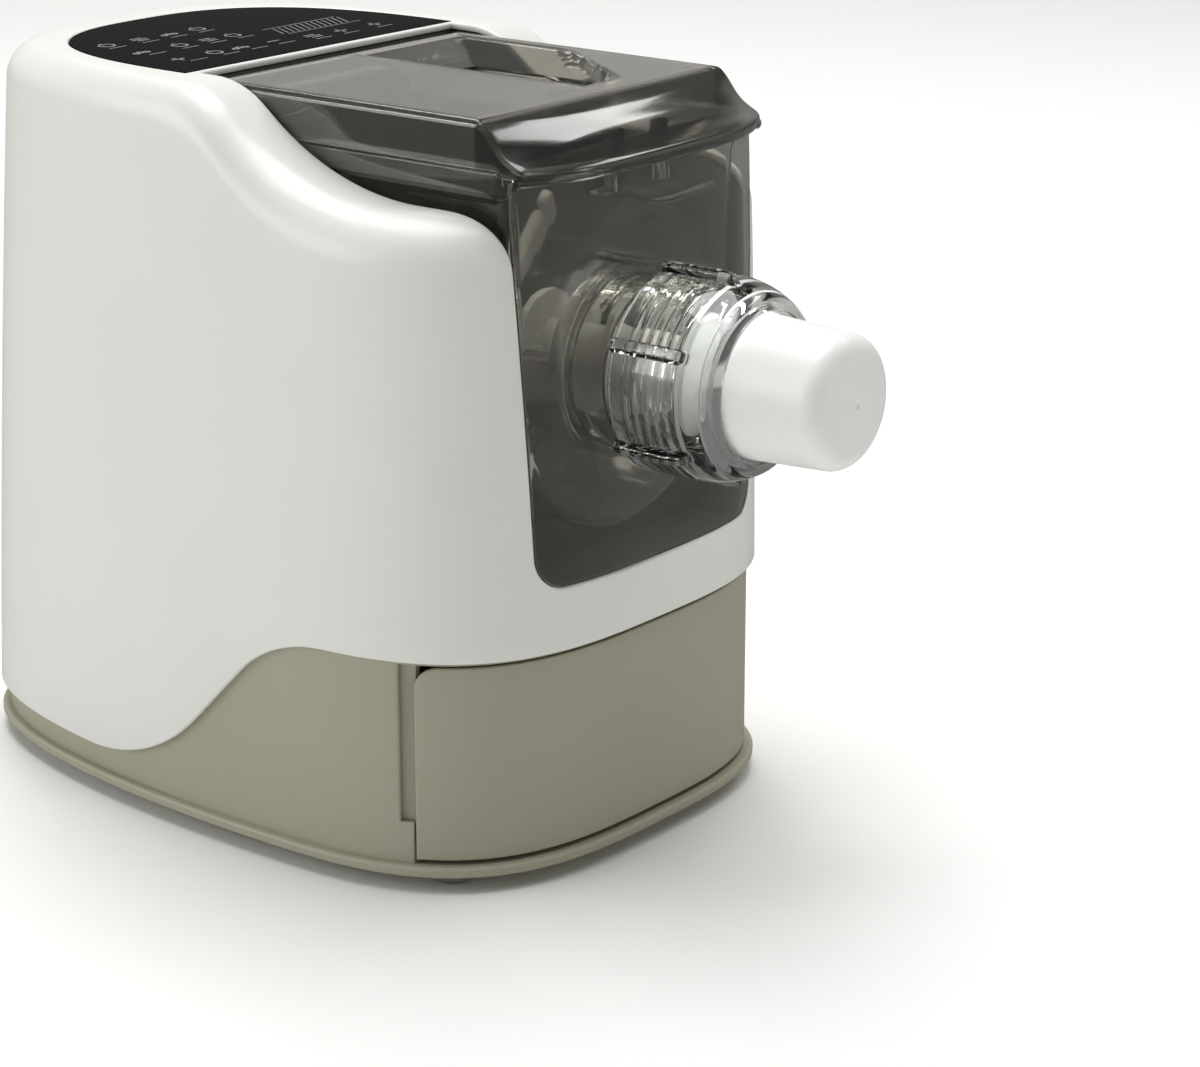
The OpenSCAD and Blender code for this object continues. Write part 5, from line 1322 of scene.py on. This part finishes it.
def build_nut(sizes):
    """The clear fixing nut: domed shoulder, six grip ribs and an inner thread."""
    bm = bmesh.new()
    bend = NUT_FRONT - NUT_SHOULDER
    outer = [(NUT_R - 0.9, -NUT_REAR), (NUT_R - 0.25, -NUT_REAR - 0.25), (NUT_R, -NUT_REAR - 0.9)]
    outer += [(NUT_R, -NUT_REAR - 0.9 - (bend - NUT_REAR - 0.9) * k / 16) for k in range(1, 17)]
    outer += [(NUT_R - NUT_ROUND + NUT_ROUND * math.cos(math.radians(a)),
               -bend - NUT_ROUND * math.sin(math.radians(a))) for a in range(2, 31, 2)]
    outer += [*NUT_LIP, (NUT_MOUTH, -NUT_FRONT + 0.7)]
    inner = [(NUT_MOUTH, -DIE_SEAT - 0.9), (NUT_MOUTH + 0.6, -DIE_SEAT - GAP),
             (DIE_FLANGE_R + 0.1, -DIE_SEAT - GAP), (NUT_BORE, -DIE_SEAT + 0.4),
             (NUT_BORE, THREAD_BACK - 0.6)]
    pitch = THREAD_LENGTH / sizes.thread_turns
    depth = sizes.thread_depth / MM
    for k in range(sizes.thread_turns):
        s = THREAD_BACK + pitch * k
        inner += [(NUT_BORE, s), (NUT_BORE + depth, s + 0.26 * pitch),
                  (NUT_BORE + depth, s + 0.46 * pitch), (NUT_BORE, s + 0.72 * pitch)]
    inner += [(NUT_BORE, NUT_ENTRY), (NUT_BORE + 1.2, -NUT_REAR), (NUT_R - 0.9, -NUT_REAR)]
    grip = sizes.grip_width / MM / 2

    def ribbed(r, s, a):
        if r < NUT_R - 3.5 or s < -NUT_FRONT + RIB_FRONT:
            return r
        turn = (math.degrees(a) - RIB_TURN + RIB_GAP / 2) % RIB_GAP - RIB_GAP / 2
        off = abs(turn) * math.pi / 180 * NUT_R
        rise = RIB_RISE * max(0.0, min(1.0, grip + 0.5 - off))
        fade = max(0.0, min(1.0, (s + NUT_FRONT - RIB_FRONT) / 2.0))
        return r + rise * fade

    lathe(bm, outer + inner, (0, AXIS_Z), NUT_STEPS, "y", ribbed)
    weld(bm)
    bmesh.ops.recalc_face_normals(bm, faces=bm.faces)
    make_piece("clear_nut", bm, finish(clear_polycarbonate), "nut",
               ["fixing_nut"])


def build_die():
    """The white die cap: clamping flange, tapered skirt, domed end and slotted outlet."""
    bm = bmesh.new()
    back = DIE_SEAT - DIE_FLANGE_T
    outer = [(DIE_BORE + 0.4, -back), (DIE_FLANGE_R - 0.4, -back), (DIE_FLANGE_R, -back - 0.4),
             (DIE_FLANGE_R, -DIE_SEAT + 0.5), (DIE_FLANGE_R - 0.5, -DIE_SEAT),
             (DIE_R + 0.5, -DIE_SEAT), (DIE_R, -DIE_SEAT - 0.5)]
    outer += [(DIE_R - (DIE_R - DIE_TIP_R) * k / 30,
               -DIE_SEAT - 0.5 - (DIE_TIP - DIE_SEAT - 0.5 - DIE_DOME_START) * k / 30)
              for k in range(1, 31)]
    outer += [(DIE_TIP_R - DIE_DOME + DIE_DOME * math.cos(math.radians(a)),
               -DIE_TIP + DIE_DOME_START - DIE_DOME * math.sin(math.radians(a)))
              for a in range(6, 91, 6)]
    outer += [(r, -DIE_TIP + (r / 17) ** 2) for r in (14, 10, 6, 3, 1.6)]
    outer += [(1.3, -DIE_TIP + 0.35), (0.7, -DIE_TIP + 0.5), (AXIS_R, -DIE_TIP + 0.5)]
    lathe(bm, outer, (0, AXIS_Z), DIE_STEPS)
    weld(bm)
    centre, reach = -(NUT_FRONT + OUTLET_MIDDLE), OUTLET_REACH
    flat_z = AXIS_Z - DIE_R + OUTLET_FLAT
    under = [f for f in bm.faces if abs(f.calc_center_median().y - centre) < reach + 4
             and f.calc_center_median().z < flat_z + 2]
    for y in (centre - reach - 0.3, centre - reach, centre + reach, centre + reach + 0.3):
        under = split(bm, under, (0, y, 0), (0, 1, 0))
    under = split(bm, under, (0, 0, flat_z), (0, 0, 1))
    for v in once(v for f in under for v in f.verts):
        if abs(v.co.y - centre) < reach + 0.01 and v.co.z < flat_z:
            v.co.z = flat_z
    across, along = STRAND_SPACING
    for i in range(STRAND_ROWS):
        for j in range(STRAND_COLUMNS):
            x = (j - (STRAND_COLUMNS - 1) / 2) * across
            y = centre + (i - (STRAND_ROWS - 1) / 2) * along
            slot = slot_outline(x, y - STRAND_HALF, y + STRAND_HALF, STRAND_R, 4)
            cut_convex(bm, outline_planes(slot, (0, 1)), lambda c: c.z < flat_z + 0.05
                       and abs(c.y - centre) < reach)
    raise_walls(bm, lambda c: c.z < flat_z + 1 and abs(c.y - centre) < reach,
                flat_z + STRAND_DEPTH, True)
    inner = [(DIE_BORE + 0.4, -back), (DIE_BORE, -back - 0.4), (DIE_BORE, -DIE_SEAT),
             (DIE_TIP_R - DIE_WALL, -DIE_TIP + 4 + DIE_WALL),
             (DIE_TIP_R - DIE_WALL - 4, -DIE_TIP + DIE_WALL), (AXIS_R, -DIE_TIP + DIE_WALL)]
    lathe(bm, inner, (0, AXIS_Z), DIE_STEPS)
    weld(bm)
    bmesh.ops.recalc_face_normals(bm, faces=bm.faces)
    make_piece("white_die_cap", bm, finish(white_acetal), "die", ["die_cap"])


def build_paddle():
    """The frosted paddle: a hub with four arms, each with a slanted blade at its tip."""
    bm = bmesh.new()
    front, back = -PADDLE_FRONT, PADDLE_BACK
    lathe(bm, [(HUB_BORE, front), (HUB_R - 0.8, front), (HUB_R, front + 0.8),
               (HUB_R, back - 0.8), (HUB_R - 0.8, back), (HUB_BORE, back), (HUB_BORE, front)],
          (0, AXIS_Z), 64)
    tip = math.sqrt(ARM_R ** 2 - (BLADE_LEN / 2) ** 2)
    for i in range(ARMS):
        station = front + 8 + (back - front - 16) * i / (ARMS - 1)
        place = (Matrix.Translation((0, station, AXIS_Z))
                 @ Matrix.Rotation(math.radians(ARM_START + 360 / ARMS * i), 4, "Y"))
        arm = prism(bm, box_outline(-ARM_HALF, ARM_HALF, -BLADE_T / 2, BLADE_T / 2), (0, 1),
                    (5, ARM_R - BLADE_H), 1.2, 3)
        bmesh.ops.transform(bm, verts=arm,
                            matrix=place @ Matrix.Rotation(math.radians(ARM_TURN), 4, "Z"))
        half = BLADE_LEN / 2
        blade = prism(bm, [(-half, ARM_R - BLADE_H), (half, ARM_R - BLADE_H), (half, tip - 3),
                           (half - 3, tip), (3 - half, tip), (-half, tip - 3)], (0, 2),
                      (-BLADE_T / 2, BLADE_T / 2), 1.2, 3)
        bmesh.ops.transform(bm, verts=blade,
                            matrix=place @ Matrix.Rotation(math.radians(BLADE_TURN), 4, "Z"))
    bmesh.ops.recalc_face_normals(bm, faces=bm.faces)
    make_piece("frosted_paddle", bm, finish(frosted_polypropylene), "screw_drive",
               ["paddle"])


# ------------------------------------------------------------------ touch panel and gland


def ring_mark(bm, x, y, r, line, start=0.0, sweep=360.0):
    """A ring, or part of one, on the panel."""
    ends = [[(x + q * math.cos(math.radians(a)), y + q * math.sin(math.radians(a)))
             for a in (start + sweep * i / 28 for i in range(29))]
            for q in (r, r - line)]
    grid(bm, [[(px, py, DECK_Z - SYMBOL_DROP) for px, py in row] for row in ends])


def bar_mark(bm, x, y, length, line, turn=0.0):
    """A straight stroke on the panel."""
    c, s = math.cos(math.radians(turn)), math.sin(math.radians(turn))
    rows = [[(x + u * c - w * s, y + u * s + w * c, DECK_Z - SYMBOL_DROP)
             for u in (-length / 2, 0, length / 2)] for w in (-line / 2, line / 2)]
    grid(bm, rows)


def draw_symbols(bm, line):
    """Plain marks of the keys: rings, strokes and dots, and a hatched display."""
    rear, middle, front = KEY_ROWS
    for x, y in ((-49.4, rear), (-2, rear), (-32.1, middle), (-4, middle), (-35.3, front)):
        ring_mark(bm, x, y, 3.4, line, 120, 300)
        bar_mark(bm, x, y + 2.6, 3.2, line, 90)
    for x, y in ((-32.5, rear), (-17.1, middle), (13.6, START_ROW)):
        for k in (-1, 0, 1):
            bar_mark(bm, x, y + 2.3 * k, 7.5 - 1.6 * abs(k), line)
    for x, y in ((-17.6, rear), (-52.5, middle), (-22.4, front)):
        for k in (-1, 0, 1):
            ring_mark(bm, x + 2.6 * k, y - 0.8 * abs(k), 1.5, line)
    for x, y in ((-54.1, front), (28.9, START_ROW), (48, START_ROW)):
        bar_mark(bm, x, y, 6.4, line)
        bar_mark(bm, x, y, 6.4, line, 90)
    bar_mark(bm, -4.1, front, 6.4, line)
    for y in KEY_ROWS:
        for x in (-49.4, -32.5, -17.6, -3):
            bar_mark(bm, x, y - 6, 8.6, line * 0.7)
    for x in (13.6, 28.9, 48):
        bar_mark(bm, x, 65.4, 8.6, line * 0.7)
    for x in range(13, 51, 3):
        bar_mark(bm, x, 88.4, 12.6, line * 0.55, 62)
    for y in (81.6, 95.2):
        bar_mark(bm, 31.5, y, 40, line * 0.6)


def build_panel(sizes):
    """The black touch panel with its symbols."""
    bm = bmesh.new()
    edge = 0.5
    top = DECK_Z - 0.06
    turns = [math.radians(15 * k) for k in range(7)]
    levels = [(0.0, DECK_Z - PANEL_T)]
    levels += [(edge * (1 - math.cos(a)), top - edge * (1 - math.sin(a))) for a in turns]
    made = grid(bm, [[(x, y, z) for x, y in panel_outline(-g, 96)] for g, z in levels],
                wrap=True)
    bm.faces.new(made[-1])
    bm.faces.new(list(reversed(made[0])))
    weld(bm)
    face_out(bm, (0, 100, DECK_Z - 1))
    make_piece("black_touch_panel", bm, finish(matt_panel_film), "housing",
               ["touch_panel"])
    bm = bmesh.new()
    draw_symbols(bm, sizes.symbol_line / MM)
    face_out(bm, (0, 100, 0))
    make_piece("panel_symbols", bm, finish(grey_panel_ink), "housing")


def build_gland():
    """The cord gland: a flanged rubber bush with a grip groove, and no cord."""
    bm = bmesh.new()
    lathe(bm, [(r, GLAND_FACE - depth) for r, depth in GLAND_SECTION], (GLAND_X, GLAND_Z), 64)
    weld(bm)
    bmesh.ops.recalc_face_normals(bm, faces=bm.faces)
    make_piece("rubber_cord_gland", bm, finish(grey_foot_rubber), "housing",
               ["cord_gland"])


def dress_frame():
    """Give each node that stays from the frame the finish of its slot."""
    for part in frame["record"]["subparts"]:
        node = frame["nodes"][part["node"]]
        node.data.materials.clear()
        node.data.materials.append(finish(SLOT_FINISHES[part["material_slot"]]))


# ------------------------------------------------------------------ stage


def aim(item, target):
    """Turn a lamp towards a point."""
    item.rotation_mode = "QUATERNION"
    item.rotation_quaternion = (Vector(target) - item.location).to_track_quat("-Z", "Y")


def build_stage(light):
    """Pale floor, soft studio lamps and the camera."""
    scene = bpy.context.scene
    scene.view_settings.view_transform = "Standard"
    world = bpy.data.worlds.new("studio_air")
    world.use_nodes = True
    tree = world.node_tree
    tree.nodes.clear()
    place = add_node(tree, "ShaderNodeTexCoord").outputs["Generated"]
    parts = add_node(tree, "ShaderNodeSeparateXYZ", [("Vector", place)])
    ramp = add_node(tree, "ShaderNodeValToRGB", [("Fac", parts.outputs["Z"])])
    set_ramp(ramp, [(height, linear(code)) for height, code in AIR])
    air = add_node(tree, "ShaderNodeBackground", [("Color", ramp.outputs["Color"])],
                   Strength=light.air)
    add_node(tree, "ShaderNodeOutputWorld", [("Surface", air.outputs["Background"])])
    scene.world = world

    bm = bmesh.new()
    edges = (-FLOOR_HALF, -2, 0, 2, FLOOR_HALF)
    grid(bm, [[(x, y, 0.0) for x in edges] for y in edges])
    mesh = bpy.data.meshes.new("studio_floor")
    bm.to_mesh(mesh)
    bm.free()
    floor = bpy.data.objects.new("studio_floor", mesh)
    floor.location.z = -FLOOR_DROP
    # Matt white board: no shine, and a very faint mottle
    mesh.materials.append(moulded("matt_white_board", scene.pasta_colours.floor, 0.006, 0.75,
                                  0.05, 2.0, 0.02, IOR=1.4))
    scene.collection.objects.link(floor)
    # Polished and clear pieces mirror a dark surround instead of the bright floor
    floor.visible_glossy = False
    floor.visible_transmission = False

    for name, (spot, (wide, high)) in LAMPS.items():
        data = bpy.data.lights.new(name + "_lamp", "AREA")
        data.shape = "RECTANGLE"
        data.size, data.size_y = wide, high
        data.energy = getattr(light, name)
        lamp = bpy.data.objects.new(name + "_lamp", data)
        lamp.location = spot
        aim(lamp, LAMP_TARGET)
        scene.collection.objects.link(lamp)

    turn, rise = math.radians(CAMERA_TURN), math.radians(CAMERA_RISE)
    back = Vector((math.sin(turn) * math.cos(rise), -math.cos(turn) * math.cos(rise),
                   math.sin(rise)))
    data = bpy.data.cameras.new("studio_camera")
    data.sensor_width = CAMERA_SENSOR
    data.sensor_fit = "HORIZONTAL"
    data.lens = CAMERA_LENS
    data.clip_start, data.clip_end = 0.05, 30
    camera = bpy.data.objects.new("studio_camera", data)
    camera.location = to_world(CAMERA_TARGET) + back * CAMERA_DISTANCE
    camera.rotation_mode = "QUATERNION"
    camera.rotation_quaternion = (-back).to_track_quat("-Z", "Y")
    scene.collection.objects.link(camera)
    scene.camera = camera


# ------------------------------------------------------------------ operators and panel


class PASTA_OT_stage(bpy.types.Operator):
    """Set up the floor, the lamps and the camera"""

    bl_idname = "pasta.stage"
    bl_label = "Studio"

    def execute(self, context):
        build_stage(context.scene.pasta_light)
        return {"FINISHED"}


class PASTA_OT_inner_works(bpy.types.Operator):
    """Give the drive, the frames and the other inner parts their finishes"""

    bl_idname = "pasta.inner_works"
    bl_label = "Inner works"

    def execute(self, context):
        dress_frame()
        return {"FINISHED"}


class PASTA_OT_housing(bpy.types.Operator):
    """Build the white housing"""

    bl_idname = "pasta.housing"
    bl_label = "White housing"

    def execute(self, context):
        build_housing(context.scene.pasta_sizes)
        return {"FINISHED"}


class PASTA_OT_base(bpy.types.Operator):
    """Build the base plate and the base walls"""

    bl_idname = "pasta.base"
    bl_label = "Base"

    def execute(self, context):
        build_flange()
        build_wall(context.scene.pasta_sizes)
        return {"FINISHED"}


class PASTA_OT_drawer(bpy.types.Operator):
    """Build the drawer's face"""

    bl_idname = "pasta.drawer"
    bl_label = "Drawer face"

    def execute(self, context):
        build_drawer(context.scene.pasta_sizes)
        return {"FINISHED"}


class PASTA_OT_feet(bpy.types.Operator):
    """Build the four rubber feet"""

    bl_idname = "pasta.feet"
    bl_label = "Feet"

    def execute(self, context):
        build_feet()
        return {"FINISHED"}


class PASTA_OT_window(bpy.types.Operator):
    """Build the smoked front window"""

    bl_idname = "pasta.window"
    bl_label = "Front window"

    def execute(self, context):
        build_window(context.scene.pasta_sizes)
        build_liner()
        return {"FINISHED"}


class PASTA_OT_tub(bpy.types.Operator):
    """Build the smoked mixing tub"""

    bl_idname = "pasta.tub"
    bl_label = "Mixing tub"

    def execute(self, context):
        build_tub(context.scene.pasta_sizes)
        return {"FINISHED"}


class PASTA_OT_lid(bpy.types.Operator):
    """Build the smoked lid with its visor, funnel and catch"""

    bl_idname = "pasta.lid"
    bl_label = "Lid"

    def execute(self, context):
        build_lid(context.scene.pasta_sizes)
        return {"FINISHED"}


class PASTA_OT_nozzle(bpy.types.Operator):
    """Build the barrel, the clear fixing nut and the die cap"""

    bl_idname = "pasta.nozzle"
    bl_label = "Barrel, nut and die"

    def execute(self, context):
        build_barrel()
        build_nut(context.scene.pasta_sizes)
        build_die()
        return {"FINISHED"}


class PASTA_OT_paddle(bpy.types.Operator):
    """Build the mixing paddle"""

    bl_idname = "pasta.paddle"
    bl_label = "Paddle"

    def execute(self, context):
        build_paddle()
        return {"FINISHED"}


class PASTA_OT_touch_panel(bpy.types.Operator):
    """Build the touch panel and its symbols"""

    bl_idname = "pasta.touch_panel"
    bl_label = "Touch panel"

    def execute(self, context):
        build_panel(context.scene.pasta_sizes)
        return {"FINISHED"}


class PASTA_OT_gland(bpy.types.Operator):
    """Build the cord gland"""

    bl_idname = "pasta.gland"
    bl_label = "Cord gland"

    def execute(self, context):
        build_gland()
        return {"FINISHED"}


BUILDERS = (PASTA_OT_stage, PASTA_OT_inner_works, PASTA_OT_housing, PASTA_OT_base,
            PASTA_OT_drawer, PASTA_OT_feet, PASTA_OT_window, PASTA_OT_tub, PASTA_OT_lid,
            PASTA_OT_nozzle, PASTA_OT_paddle, PASTA_OT_touch_panel, PASTA_OT_gland)
SETTINGS = (("pasta_sizes", PastaMakerSizes), ("pasta_colours", PastaMakerColours),
            ("pasta_light", PastaMakerLight))


class PASTA_PT_sidebar(bpy.types.Panel):
    """Sizes, colours and builders of the pasta maker"""

    bl_idname = "PASTA_PT_sidebar"
    bl_label = "Pasta maker"
    bl_space_type = "VIEW_3D"
    bl_region_type = "UI"
    bl_category = "Pasta maker"

    def draw(self, context):
        for name, group in SETTINGS:
            box = self.layout.box()
            for key in group.__annotations__:
                box.prop(getattr(context.scene, name), key)
        for builder in BUILDERS:
            self.layout.operator(builder.bl_idname)


CLASSES = (PastaMakerSizes, PastaMakerColours, PastaMakerLight, *BUILDERS, PASTA_PT_sidebar)


def register():
    for item in CLASSES:
        bpy.utils.register_class(item)
    for name, group in SETTINGS:
        setattr(bpy.types.Scene, name, PointerProperty(type=group))


def unregister():
    for name, _ in SETTINGS:
        delattr(bpy.types.Scene, name)
    for item in reversed(CLASSES):
        bpy.utils.unregister_class(item)


def main():
    """Register the add-on and build every piece."""
    register()
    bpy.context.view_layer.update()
    for builder in BUILDERS:
        group, name = builder.bl_idname.split(".")
        getattr(getattr(bpy.ops, group), name)()


if __name__ == "__main__":
    main()
